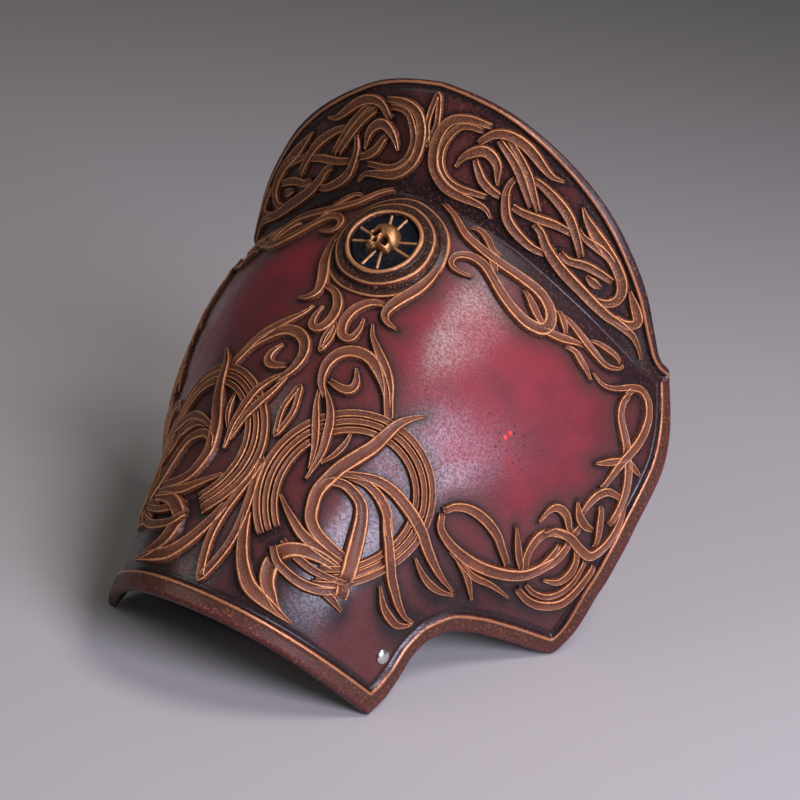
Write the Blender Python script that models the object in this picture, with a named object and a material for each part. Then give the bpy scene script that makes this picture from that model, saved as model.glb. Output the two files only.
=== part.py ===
"""A moulded leather pauldron: shell with collar, raised strapwork, skull boss, rivets and arm strap.

The shell is worked out in barrel coordinates: across (x), along (from the hem to the collar) and
up (square to the barrel's axis). The whole is then pitched so that it stands on its hem corners
and its lobe tips, with the floor at z = 0 and the origin below the middle of the whole.
"""

import math
from collections import namedtuple

import bmesh
import bpy
import numpy as np

BARREL_LENGTH = 0.240
HALF_WIDTH = 0.1455
SECTION_DEPTH = 0.144
COLLAR_REACH = 0.048
COLLAR_RISE = 0.0355
COLLAR_SPREAD = 0.010
WALL = 0.0036
BORDER_WIDTH = 0.0095
BORDER_RISE = 0.0016
BORDER_STEP = 0.0012
RIM_BORDER = 0.0055
GAP = 0.0003
SLIVER = 0.00006

STRAND_WIDTH = 0.0052
STRAND_RISE = 0.0027
RING_BAND = 0.0115
RING_HALF_ACROSS = 0.230
RING_HALF_LENGTH = 0.043
STRAND_PITCH = 0.0115
STRAND_STEP = 0.00026
STRAND_LEVELS = 5

BOSS_RADIUS = 0.0317
BOSS_HEIGHT = 0.0062
BOSS_PLACE = 0.865
RECESS_RADIUS = 0.0172
RECESS_DEPTH = 0.0036
BADGE_THICKNESS = 0.0012
RAY_RISE = 0.0010
RAY_WIDTH = 0.0019
RAY_PAIRS = 4
RAY_SPREAD = 0.26
SKULL_WIDTH = 0.0150
SKULL_LENGTH = 0.0185
SKULL_HEIGHT = 0.0080

RIVET_RADIUS = 0.0040
RIVET_RISE = 0.0016
RIVET_ALONG = 0.1125
RIVET_ACROSS = 0.72
STRAP_WIDTH = 0.022
STRAP_THICKNESS = 0.0025
STRAP_DROP = 0.0130
STRAP_HEEL = 0.800
STRAP_SEAT = 0.0009

MIDDLE_COLUMNS = 12
BARREL_ROWS = 19
COLLAR_ROWS = 3

# Sections square to the barrel's axis. along is a share of BARREL_LENGTH, the x columns are shares
# of HALF_WIDTH, and crown and the drop columns are shares of SECTION_DEPTH.
Section = namedtuple("Section", "along crown shoulder_x flank_x flank_drop foot_x foot_drop")
SECTIONS = (
    Section(0.000, 0.000, 0.316, 0.454, 0.292, 0.591, 0.597),
    Section(0.167, 0.014, 0.426, 0.515, 0.326, 0.639, 0.847),
    Section(0.333, 0.021, 0.474, 0.564, 0.382, 0.845, 1.000),
    Section(0.500, 0.042, 0.481, 0.653, 0.417, 0.969, 0.958),
    Section(0.667, 0.035, 0.474, 0.715, 0.417, 1.000, 0.868),
    Section(0.833, 0.003, 0.412, 0.756, 0.403, 0.979, 0.778),
    Section(1.021, -0.028, 0.289, 0.729, 0.417, 0.852, 0.681),
)

# The lower edge: how far across the section (1 is its foot) the leather goes at each place along.
Edge = namedtuple("Edge", "along across")
EDGES = (
    Edge(0.000, 0.860),
    Edge(0.050, 0.855),
    Edge(0.104, 0.830),
    Edge(0.158, 0.795),
    Edge(0.204, 0.780),
    Edge(0.250, 0.793),
    Edge(0.283, 0.845),
    Edge(0.317, 0.925),
    Edge(0.335, 0.975),
    Edge(0.348, 1.000),
    Edge(0.408, 0.995),
    Edge(0.492, 0.978),
    Edge(0.575, 0.975),
    Edge(0.667, 0.980),
    Edge(0.800, 0.995),
    Edge(1.021, 1.000),
)

# The collar: crease is a share of BARREL_LENGTH; reach, rise and spread are shares of the collar's
# own sizes, from the crease to the rim.
Collar = namedtuple("Collar", "across crease reach rise spread")
COLLARS = (
    Collar(0.00, 1.006, 1.000, 0.990, 0.00),
    Collar(0.20, 1.005, 0.965, 0.935, 0.81),
    Collar(0.31, 1.000, 0.917, 0.830, 1.26),
    Collar(0.42, 0.989, 0.840, 0.730, 1.60),
    Collar(0.52, 0.975, 0.760, 0.605, 1.68),
    Collar(0.62, 0.962, 0.650, 0.470, 1.45),
    Collar(0.73, 0.948, 0.510, 0.380, 0.98),
    Collar(0.85, 0.935, 0.350, 0.320, 0.18),
    Collar(0.93, 0.941, 0.200, 0.220, -0.20),
    Collar(1.00, 0.966, 0.120, 0.050, -0.30),
)

# Strapwork of the right half; the left is its mirror. Each strand has its face, its width as a
# share of STRAND_WIDTH, the shares of that width at its two ends, and its chosen places as pairs of
# (across, along) hundredths. On the collar the second number runs from the crease to the rim.
Strand = namedtuple("Strand", "group face width start end places")
STRANDS = (
    Strand("ring_knot", "barrel", 1.0, 0.3, 1.0, (
        (32.5, 55.0), (27.5, 50.8), (22.0, 40.8), (17.2, 31.3), (20.0, 25.4), (26.0, 22.9),
        (35.5, 22.1),
    )),
    Strand("ring_knot", "barrel", 1.3, 0.5, 1.1, (
        (18.0, 33.5), (25.0, 35.0), (32.0, 31.7), (37.0, 23.8), (43.5, 15.0),
    )),
    Strand("ring_knot", "barrel", 1.0, 0.5, 0.3, (
        (19.5, 35.5), (30.0, 38.8), (42.0, 37.5), (53.0, 33.8), (62.0, 30.8), (69.5, 30.2),
    )),
    Strand("ring_knot", "barrel", 0.9, 0.5, 0.3, (
        (32.0, 38.0), (40.0, 32.1), (48.0, 26.5), (56.0, 22.5), (63.0, 20.4), (68.5, 20.6),
    )),
    Strand("ring_knot", "barrel", 0.9, 0.3, 1.0, (
        (9.0, 27.3), (14.0, 24.4), (22.0, 21.7), (30.0, 20.8), (38.5, 20.2),
    )),
    Strand("ring_knot", "barrel", 1.1, 1.0, 0.3, (
        (39.0, 19.6), (24.0, 19.4), (17.5, 15.8), (20.0, 10.4), (27.0, 7.3), (33.0, 6.3),
    )),
    Strand("ring_knot", "barrel", 0.8, 0.5, 0.8, (
        (6.0, 43.3), (3.1, 38.3), (2.5, 33.3), (3.4, 26.7), (5.3, 19.2), (9.0, 12.5), (16.0, 8.6),
        (25.0, 6.9), (30.0, 6.7),
    )),
    Strand("ring_knot", "barrel", 0.9, 0.6, 0.3, (
        (24.0, 50.5), (20.0, 55.8), (16.0, 58.8), (11.0, 60.8), (6.0, 59.6), (3.5, 55.8), (4.5, 51.7),
        (7.5, 46.7), (10.5, 40.8), (12.6, 33.3),
    )),
    Strand("ring_knot", "barrel", 0.9, 0.3, 0.6, ((8.5, 67.9), (13.0, 62.9), (19.0, 57.9), (24.8, 50.0))),
    Strand("ring_knot", "barrel", 0.8, 0.5, 0.3, ((4.4, 52.9), (10.0, 52.5), (12.5, 54.2), (10.5, 57.5))),
    Strand("scroll", "barrel", 0.7, 0.6, 0.4, (
        (8.8, 73.2), (4.5, 71.7), (1.9, 67.1), (3.3, 63.2), (5.8, 63.8), (6.1, 68.3),
    )),
    Strand("hook", "barrel", 0.7, 0.7, 0.3, ((11.0, 73.8), (10.2, 71.0), (12.0, 69.3), (14.8, 69.0))),
    Strand("lobe_knot", "barrel", 0.9, 0.8, 0.6, (
        (51.0, 40.8), (56.0, 44.6), (63.0, 45.0), (70.0, 42.9), (76.0, 40.3),
    )),
    Strand("lobe_knot", "barrel", 1.0, 0.8, 0.3, (
        (51.0, 41.3), (55.0, 37.5), (62.0, 36.7), (72.0, 38.1), (79.5, 41.7), (83.2, 47.9),
        (83.8, 53.8), (82.5, 57.9), (80.4, 60.0),
    )),
    Strand("lobe_knot", "barrel", 0.7, 0.3, 0.6, ((70.0, 47.9), (74.0, 44.6), (79.5, 41.2))),
    Strand("lobe_knot", "barrel", 0.9, 0.6, 0.8, (
        (78.8, 41.5), (76.3, 47.1), (78.5, 51.9), (83.5, 53.2), (89.5, 53.3), (91.8, 57.9),
        (91.6, 63.5),
    )),
    Strand("lobe_knot", "barrel", 0.9, 0.6, 0.8, (
        (79.0, 39.2), (85.0, 38.8), (90.0, 40.4), (92.0, 45.8), (90.8, 54.5),
    )),
    Strand("lobe_knot", "barrel", 0.7, 0.6, 0.3, ((60.0, 36.3), (68.0, 35.0), (74.5, 31.4))),
    Strand("lobe_knot", "barrel", 0.7, 0.3, 0.6, (
        (74.2, 51.7), (75.0, 55.2), (79.0, 56.0), (84.0, 53.5),
    )),
    Strand("lobe_knot", "barrel", 0.8, 0.6, 0.6, (
        (82.6, 57.0), (83.5, 62.5), (86.5, 65.8), (91.5, 66.5),
    )),
    Strand("lobe_knot", "barrel", 0.8, 0.6, 0.6, ((86.5, 62.5), (89.3, 57.0), (90.2, 53.0))),
    Strand("lobe_knot", "barrel", 0.9, 0.6, 0.6, (
        (90.5, 58.5), (91.3, 64.6), (90.0, 70.0), (87.0, 74.2), (81.2, 79.6), (79.8, 83.8),
        (81.5, 87.2),
    )),
    Strand("lobe_knot", "barrel", 0.9, 0.6, 0.3, (
        (83.8, 64.0), (85.2, 70.0), (87.2, 75.0), (89.2, 82.1), (88.2, 87.2), (85.0, 88.6),
        (79.5, 86.9), (74.0, 84.2), (69.0, 84.2),
    )),
    Strand("lobe_knot", "barrel", 0.7, 0.3, 0.6, ((79.5, 68.8), (84.0, 71.9), (88.0, 74.6))),
    Strand("crease_loop", "barrel", 0.9, 0.5, 0.3, (
        (15.5, 98.3), (19.0, 96.9), (25.0, 95.2), (34.0, 94.0), (43.0, 93.5), (49.0, 92.0),
        (51.6, 88.8), (49.0, 85.7), (43.0, 85.4), (37.0, 87.3), (31.0, 90.4), (25.0, 92.1),
        (20.4, 89.8), (21.5, 87.7), (27.0, 87.9),
    )),
    Strand("crease_loop", "barrel", 0.8, 0.8, 0.3, (
        (50.0, 86.0), (57.0, 86.9), (65.0, 88.8), (72.0, 88.5), (76.5, 90.2),
    )),
    Strand("crease_loop", "barrel", 0.8, 0.4, 0.6, ((54.5, 91.5), (61.0, 89.9), (66.0, 88.5))),
    Strand("crease_loop", "barrel", 0.7, 0.6, 0.3, ((57.0, 86.7), (62.0, 85.2), (67.5, 83.1))),
    Strand("collar_scroll", "collar", 0.8, 0.6, 0.3, (
        (17.5, 83.0), (11.0, 80.0), (6.0, 74.0), (3.0, 62.0), (2.4, 45.0), (3.6, 30.0), (7.5, 20.0),
        (15.0, 15.5), (21.0, 16.5), (25.2, 12.0),
    )),
    Strand("collar_knot", "collar", 0.9, 0.4, 0.3, (
        (13.2, 52.0), (15.5, 70.0), (19.5, 81.5), (24.5, 84.0), (30.0, 81.5), (34.5, 78.0),
        (38.0, 82.0),
    )),
    Strand("collar_knot", "collar", 0.9, 0.3, 0.4, (
        (10.0, 38.0), (12.5, 50.0), (16.5, 60.0), (20.5, 57.0), (23.5, 42.0),
    )),
    Strand("collar_knot", "collar", 0.8, 0.6, 0.8, (
        (13.8, 54.0), (17.0, 43.0), (20.5, 35.0), (27.0, 32.5),
    )),
    Strand("collar_knot", "collar", 0.8, 0.8, 0.8, (
        (19.0, 79.0), (25.0, 66.0), (30.5, 52.0), (35.5, 37.5),
    )),
    Strand("collar_knot", "collar", 0.8, 0.8, 0.8, (
        (21.5, 83.0), (28.0, 69.0), (34.0, 52.0), (38.5, 41.5),
    )),
    Strand("collar_knot", "collar", 0.9, 0.4, 0.8, (
        (27.5, 56.0), (26.8, 40.0), (29.0, 26.0), (33.0, 16.0), (39.0, 13.0), (44.5, 19.5),
    )),
    Strand("collar_knot", "collar", 0.8, 0.8, 0.8, (
        (28.0, 30.5), (34.0, 34.0), (40.0, 43.0), (48.0, 54.5),
    )),
    Strand("collar_knot", "collar", 0.9, 0.8, 0.8, (
        (31.0, 66.0), (38.0, 66.0), (44.0, 62.0), (49.0, 51.0), (54.0, 38.5),
    )),
    Strand("collar_knot", "collar", 1.0, 0.8, 0.4, (
        (36.5, 35.0), (41.0, 28.5), (46.0, 20.0), (54.0, 16.5), (62.0, 17.0), (69.0, 23.0),
        (74.5, 31.0), (79.0, 33.0),
    )),
    Strand("collar_knot", "collar", 0.8, 0.6, 0.8, (
        (47.5, 28.0), (52.0, 34.0), (57.0, 45.0), (62.0, 55.0),
    )),
    Strand("collar_knot", "collar", 1.0, 0.3, 0.8, (
        (46.5, 78.0), (51.0, 72.5), (58.0, 72.0), (64.0, 67.0), (66.3, 50.0), (64.5, 32.0),
        (61.0, 18.5),
    )),
    Strand("collar_knot", "collar", 0.8, 0.4, 0.8, (
        (70.0, 68.0), (74.0, 62.0), (75.3, 50.0), (73.0, 37.0), (69.5, 24.5),
    )),
)

LeatherLook = namedtuple("LeatherLook", "colour roughness metallic")
RED_LEATHER = LeatherLook((0.165, 0.028, 0.030), 0.36, 0.0)
COPPER_EDGE = LeatherLook((0.330, 0.120, 0.050), 0.42, 0.35)
DARK_LEATHER = LeatherLook((0.075, 0.026, 0.018), 0.45, 0.0)
BRONZE = LeatherLook((0.420, 0.190, 0.060), 0.36, 0.90)
BLACK_STRAP = LeatherLook((0.012, 0.012, 0.018), 0.55, 0.0)
NICKEL = LeatherLook((0.620, 0.620, 0.600), 0.28, 1.0)


def clear_scene():
    """Removes the scene's objects."""
    for thing in list(bpy.data.objects):
        bpy.data.objects.remove(thing, do_unlink=True)


def material(name, look):
    """A Principled material from a look's colour, roughness and metallic value."""
    made = bpy.data.materials.new(name)
    made.use_nodes = True
    shader = made.node_tree.nodes["Principled BSDF"]
    shader.inputs["Base Color"].default_value = (*look.colour, 1.0)
    shader.inputs["Roughness"].default_value = look.roughness
    shader.inputs["Metallic"].default_value = look.metallic
    return made


def through(rows, place):
    """Values between a table's rows, on a smooth curve through them (Hermite, slopes by neighbours)."""
    table = np.array(rows, float)
    keys, values = table[:, 0], table[:, 1:]
    place = np.asarray(place, float)
    slope = np.empty_like(values)
    slope[1:-1] = (values[2:] - values[:-2]) / (keys[2:] - keys[:-2])[:, None]
    slope[0] = (values[1] - values[0]) / (keys[1] - keys[0])
    slope[-1] = (values[-1] - values[-2]) / (keys[-1] - keys[-2])
    low = np.clip(np.searchsorted(keys, place, side="right") - 1, 0, len(keys) - 2)
    span = (keys[low + 1] - keys[low])[..., None]
    share = ((place - keys[low])[..., None]) / span
    start = (2 * share**3 - 3 * share**2 + 1) * values[low]
    start = start + (share**3 - 2 * share**2 + share) * span * slope[low]
    finish = (3 * share**2 - 2 * share**3) * values[low + 1]
    return start + finish + (share**3 - share**2) * span * slope[low + 1]


def barrel(across, along):
    """A place on the barrel's outer face. across runs from -1 to 1 and along is in metres."""
    across, along = np.broadcast_arrays(np.asarray(across, float), np.asarray(along, float))
    row = through(SECTIONS, along / BARREL_LENGTH)
    side = np.abs(across)
    near = 3 * side * (1 - side) ** 2
    middle = 3 * side**2 * (1 - side)
    foot = side**3
    out = HALF_WIDTH * (row[..., 1] * near + row[..., 2] * middle + row[..., 4] * foot)
    drop = row[..., 3] * middle + row[..., 5] * foot
    return np.stack([np.sign(across) * out, along, SECTION_DEPTH * (row[..., 0] - drop)], -1)


def crease_along(across):
    """How far along the crease between barrel and collar lies."""
    return through(COLLARS, np.abs(across))[..., 0] * BARREL_LENGTH


def collar(across, height):
    """A place on the collar's face; height runs from 0 at the crease to 1 at the rim."""
    across, height = np.broadcast_arrays(np.asarray(across, float), np.asarray(height, float))
    row = through(COLLARS, np.abs(across))
    foot = barrel(across, row[..., 0] * BARREL_LENGTH)
    lean = np.stack(
        [
            np.sign(across) * row[..., 3] * COLLAR_SPREAD,
            row[..., 1] * COLLAR_REACH,
            row[..., 2] * COLLAR_RISE,
        ],
        -1,
    )
    return foot + lean * height[..., None]


def face_point(face, across, second):
    """A place on the barrel, second as a share of its length, or on the collar, second as a height."""
    if face == "barrel":
        return barrel(across, np.asarray(second, float) * BARREL_LENGTH)
    return collar(across, second)


def face_frame(face, across, second):
    """The place and the outward normal there, from small steps each way."""
    across = np.asarray(across, float)
    second = np.asarray(second, float)
    step = 0.004
    sideways = face_point(face, across + step, second) - face_point(face, across - step, second)
    onward = face_point(face, across, second + step) - face_point(face, across, second - step)
    normal = np.cross(sideways, onward)
    normal = normal / np.linalg.norm(normal, axis=-1, keepdims=True)
    return face_point(face, across, second), normal


def edge_across(along):
    """How far across the leather goes at a place along, from straight runs between the table's rows."""
    table = np.array(EDGES, float)
    return np.interp(along / BARREL_LENGTH, table[:, 0], table[:, 1])


def column_places(along):
    """Shares across one half of a row, crown to edge, with the border's inner line and its foot."""
    limit = float(edge_across(along))
    fine = np.linspace(0.0, limit, 81)
    points = barrel(fine, np.full(81, along))
    lengths = np.concatenate([[0.0], np.cumsum(np.linalg.norm(np.diff(points, axis=0), axis=1))])
    girth = lengths[-1]
    plain = np.linspace(0.0, girth - BORDER_WIDTH - BORDER_STEP, MIDDLE_COLUMNS + 1)
    places = np.concatenate([plain, [girth - BORDER_WIDTH, girth]])
    return np.interp(places, lengths, fine)


def row_places():
    """Shares of the way from hem to crease: the hem border, then even rows and the tip."""
    border = BORDER_WIDTH / BARREL_LENGTH
    step = BORDER_STEP / BARREL_LENGTH
    tip = next(row.along for row in EDGES if row.across == 1.0)
    rows = list(np.linspace(border + step, 1.0, BARREL_ROWS))
    nearest = min(range(1, BARREL_ROWS - 1), key=lambda index: abs(rows[index] - tip))
    rows[nearest] = tip
    return np.array([0.0, border] + rows)


def shell_grids():
    """The outer and inner skins as grids of (row, column, xyz), and the mask of the raised border."""
    rows = row_places()
    half = np.array([column_places(min(share, 1.0) * BARREL_LENGTH) for share in rows])
    across = np.concatenate([-half[:, :0:-1], half], axis=1)
    limit = across[:, -1:]
    reach = crease_along(across / np.maximum(limit, 1e-6))
    along = rows[:, None] * reach
    body = barrel(across, along)
    last = across[-1]
    rim_height = np.linalg.norm(collar(0.0, 1.0) - collar(0.0, 0.0))
    inner_line = 1.0 - RIM_BORDER / rim_height
    heights = np.concatenate(
        [np.linspace(0.0, inner_line - BORDER_STEP / rim_height, COLLAR_ROWS + 1)[1:], [inner_line, 1.0]]
    )
    cuff = np.array([collar(last, np.full(last.shape, height)) for height in heights])
    skin = np.concatenate([body, cuff])
    raised = np.zeros(skin.shape[:2], bool)
    raised[:2] = True
    raised[-2:] = True
    raised[:, :2] = True
    raised[:, -2:] = True
    onward = np.gradient(skin, axis=0)
    sideways = np.gradient(skin, axis=1)
    normal = np.cross(sideways, onward)
    normal = normal / np.linalg.norm(normal, axis=-1, keepdims=True)
    outer = skin + normal * (raised * BORDER_RISE)[..., None]
    return outer, skin - normal * WALL, raised


def closed_sheet(outer, inner):
    """Points and faces of a wall between two grids, closed along its four sides."""
    rows, columns = outer.shape[:2]
    points = np.concatenate([outer.reshape(-1, 3), inner.reshape(-1, 3)])
    index = np.arange(rows * columns).reshape(rows, columns)
    low = index + rows * columns
    top = np.stack([index[:-1, :-1], index[:-1, 1:], index[1:, 1:], index[1:, :-1]], -1).reshape(-1, 4)
    under = np.stack([low[:-1, :-1], low[1:, :-1], low[1:, 1:], low[:-1, 1:]], -1).reshape(-1, 4)
    loop = np.concatenate([index[0, :], index[1:, -1], index[-1, -2::-1], index[-2:0:-1, 0]])
    after = np.roll(loop, -1)
    side = np.stack([after, loop, loop + rows * columns, after + rows * columns], -1)
    return points, np.concatenate([top, under, side])


def curve_through(places):
    """Finely spaced places on a smooth curve through a strand's chosen places (Catmull-Rom)."""
    chosen = np.array(places, float) / 100
    padded = np.vstack([2 * chosen[0] - chosen[1], chosen, 2 * chosen[-1] - chosen[-2]])
    share = np.linspace(0.0, 1.0, 12, endpoint=False)[:, None]
    pieces = []
    for before, start, finish, beyond in zip(padded[:-3], padded[1:-2], padded[2:-1], padded[3:]):
        linear = finish - before
        square = 2 * before - 5 * start + 4 * finish - beyond
        cubic = 3 * start - before - 3 * finish + beyond
        pieces.append(0.5 * (2 * start + linear * share + square * share**2 + cubic * share**3))
    pieces.append(chosen[-1:])
    return np.concatenate(pieces)


def ribbon(face, places, width, start, end, lift, closed=False):
    """Points and faces of a raised strand: a ridge of three sides swept along places on a face."""
    fine = np.asarray(places, float)
    points, _ = face_frame(face, fine[:, 0], fine[:, 1])
    lengths = np.concatenate([[0.0], np.cumsum(np.linalg.norm(np.diff(points, axis=0), axis=1))])
    count = max(3, int(round(lengths[-1] / STRAND_PITCH)) + 1)
    stops = np.linspace(0.0, lengths[-1], count)
    across = np.interp(stops, lengths, fine[:, 0])
    second = np.interp(stops, lengths, fine[:, 1])
    if closed:
        across, second = across[:-1], second[:-1]
    points, normal = face_frame(face, across, second)
    if closed:
        onward = np.roll(points, -1, axis=0) - np.roll(points, 1, axis=0)
    else:
        onward = np.gradient(points, axis=0)
    side = np.cross(normal, onward)
    side = side / np.linalg.norm(side, axis=1, keepdims=True)
    share = np.linspace(0.0, 1.0, len(points))
    ends = np.minimum(1.0, np.minimum(start + (1 - start) * share * 4, end + (1 - end) * (1 - share) * 4))
    half = 0.5 * width * (np.ones(len(points)) if closed else ends)[:, None]
    rise = STRAND_RISE * (np.ones(len(points)) if closed else 0.45 + 0.55 * ends)[:, None]
    left = points + side * half + normal * (GAP + lift)
    right = points - side * half + normal * (GAP + lift)
    ridge = points + normal * (rise + lift)
    count = len(points)
    ring = np.arange(count)
    after = np.roll(ring, -1) if closed else ring[1:]
    ring = ring if closed else ring[:-1]
    faces = []
    for one, other in ((0, 2), (2, 1), (1, 0)):
        low, high = one * count, other * count
        faces.append(np.stack([ring + low, after + low, after + high, ring + high], -1))
    quads = [tuple(int(value) for value in face) for face in np.concatenate(faces)]
    if not closed:
        quads.append((0, 2 * count, count))
        quads.append((count - 1, 2 * count - 1, 3 * count - 1))
    return np.concatenate([left, right, ridge]), quads


def new_object(name, points, faces, look, smooth=True):
    """A mesh object from points and faces, with its own material."""
    mesh = bpy.data.meshes.new(name)
    corners = [tuple(int(value) for value in face) for face in faces]
    mesh.from_pydata([tuple(point) for point in points], [], corners)
    mesh.validate()
    mesh.update()
    for polygon in mesh.polygons:
        polygon.use_smooth = smooth
    made = bpy.data.objects.new(name, mesh)
    bpy.context.scene.collection.objects.link(made)
    if look is not None:
        made.data.materials.append(material(name + "_finish", look))
    return made


def mirrored(points, faces):
    """The same solid on the other side of the midplane."""
    return np.asarray(points) * (-1, 1, 1), [tuple(reversed(face)) for face in faces]


def facing_out(points, faces):
    """The faces turned, if need be, so that the solid's volume is positive."""
    volume = 0.0
    for face in faces:
        origin = points[face[0]]
        for second, third in zip(face[1:-1], face[2:]):
            volume += float(np.dot(origin, np.cross(points[second], points[third])))
    return faces if volume > 0 else [tuple(reversed(face)) for face in faces]


def without_slivers(mesh):
    """Takes out the hair-thin faces that crossing ridges leave, and any pair that covers nothing."""
    worked = bmesh.new()
    worked.from_mesh(mesh)
    bmesh.ops.triangulate(worked, faces=list(worked.faces))
    bmesh.ops.remove_doubles(worked, verts=list(worked.verts), dist=SLIVER)
    bmesh.ops.dissolve_degenerate(worked, edges=list(worked.edges), dist=SLIVER)
    bmesh.ops.triangulate(worked, faces=list(worked.faces))
    same = {}
    for face in worked.faces:
        same.setdefault(frozenset(vertex.index for vertex in face.verts), []).append(face)
    doubled = [face for faces in same.values() if len(faces) > 1 for face in faces]
    if doubled:
        bmesh.ops.delete(worked, geom=doubled, context="FACES")
    worked.to_mesh(mesh)
    worked.free()


def fused(name, solids, look):
    """One body from solids that cross each other, by exact unions."""
    pieces = [new_object(f"{name}_{number}", *solid, None) for number, solid in enumerate(solids)]
    body = pieces[0]
    for other in pieces[1:]:
        union = body.modifiers.new("union", "BOOLEAN")
        union.operation = "UNION"
        union.solver = "EXACT"
        union.object = other
    graph = bpy.context.evaluated_depsgraph_get()
    mesh = bpy.data.meshes.new_from_object(body.evaluated_get(graph))
    mesh.name = name
    for piece in pieces:
        bpy.data.objects.remove(piece, do_unlink=True)
    without_slivers(mesh)
    made = bpy.data.objects.new(name, mesh)
    bpy.context.scene.collection.objects.link(made)
    mesh.materials.clear()
    mesh.materials.append(material(name + "_finish", look))
    for polygon in mesh.polygons:
        polygon.use_smooth = False
    return made


def ring_places():
    """Places round the strapwork's ring, half a share across and a half length along."""
    turn = np.linspace(0.0, 2 * math.pi, 73)
    centre_across, centre_along = 0.27, 0.308
    across = centre_across + RING_HALF_ACROSS * np.cos(turn)
    along = centre_along + RING_HALF_LENGTH / BARREL_LENGTH * np.sin(turn)
    return np.stack([across, along], -1)


def loop_places(half_widths, start, finish):
    """A closed loop round the midline between two heights, with half widths at even steps."""
    count = len(half_widths)
    height = np.linspace(start, finish, count)
    right = np.stack([half_widths, height], -1)
    left = right[-2:0:-1] * (-1, 1)
    closed = np.concatenate([right, left, right[:1]])
    padded = np.concatenate([closed[-2:-1], closed, closed[1:2]])
    share = np.linspace(0.0, 1.0, 8, endpoint=False)[:, None]
    pieces = []
    for before, first, last, beyond in zip(padded[:-3], padded[1:-2], padded[2:-1], padded[3:]):
        linear = last - before
        square = 2 * before - 5 * first + 4 * last - beyond
        cubic = 3 * first - before - 3 * last + beyond
        pieces.append(0.5 * (2 * first + linear * share + square * share**2 + cubic * share**3))
    pieces.append(closed[-1:])
    return np.concatenate(pieces)


def build_relief():
    """The strapwork: each group fused to one body, on the right and mirrored on the left."""
    made = []
    groups = {}
    for strand in STRANDS:
        groups.setdefault(strand.group, []).append(strand)
    for group, strands in groups.items():
        solids = []
        if group == "ring_knot":
            solids.append(ribbon("barrel", ring_places(), RING_BAND, 1, 1, 0.0, closed=True))
        for number, strand in enumerate(strands, 1):
            lift = STRAND_STEP * (number % STRAND_LEVELS)
            places = curve_through(strand.places)
            width = strand.width * STRAND_WIDTH
            solids.append(ribbon(strand.face, places, width, strand.start, strand.end, lift))
        solids = [(points, facing_out(points, faces)) for points, faces in solids]
        left = fused(group + "_left", [mirrored(*solid) for solid in solids], COPPER_EDGE)
        points = [vertex.co[:] for vertex in left.data.vertices]
        faces = [tuple(polygon.vertices) for polygon in left.data.polygons]
        right = new_object(group + "_right", *mirrored(points, faces), COPPER_EDGE, smooth=False)
        made += [right, left]
    loops = (
        ("drop_loop", "barrel", (0.0, 0.020, 0.028, 0.026, 0.017, 0.007, 0.0), 0.060, 0.310, 0.62),
        ("crown_leaf", "barrel", (0.0, 0.010, 0.014, 0.008, 0.0), 0.385, 0.490, 0.45),
        ("collar_leaf", "collar", (0.0, 0.008, 0.014, 0.012, 0.0), 0.470, 0.860, 0.45),
    )
    for name, face, half_widths, start, finish, width in loops:
        places = loop_places(half_widths, start, finish)
        points, faces = ribbon(face, places, width * STRAND_WIDTH, 1, 1, 0.0, closed=True)
        made.append(new_object(name, points, facing_out(points, faces), COPPER_EDGE))
    return made


def boss_frame():
    """The boss's centre on the crown, and its plane's axes: across, onward and out."""
    centre, normal = face_frame("barrel", 0.0, BOSS_PLACE)
    onward = np.cross(normal, np.array([1.0, 0.0, 0.0]))
    return centre, np.array([1.0, 0.0, 0.0]), onward, normal


def on_barrel(points):
    """The outer face's up value under each point, by nearest share across."""
    fine = np.linspace(-1.0, 1.0, 401)
    ups = []
    for point in points:
        line = barrel(fine, np.full(401, point[1]))
        ups.append(np.interp(point[0], line[:, 0], line[:, 2]))
    return np.array(ups)


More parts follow.
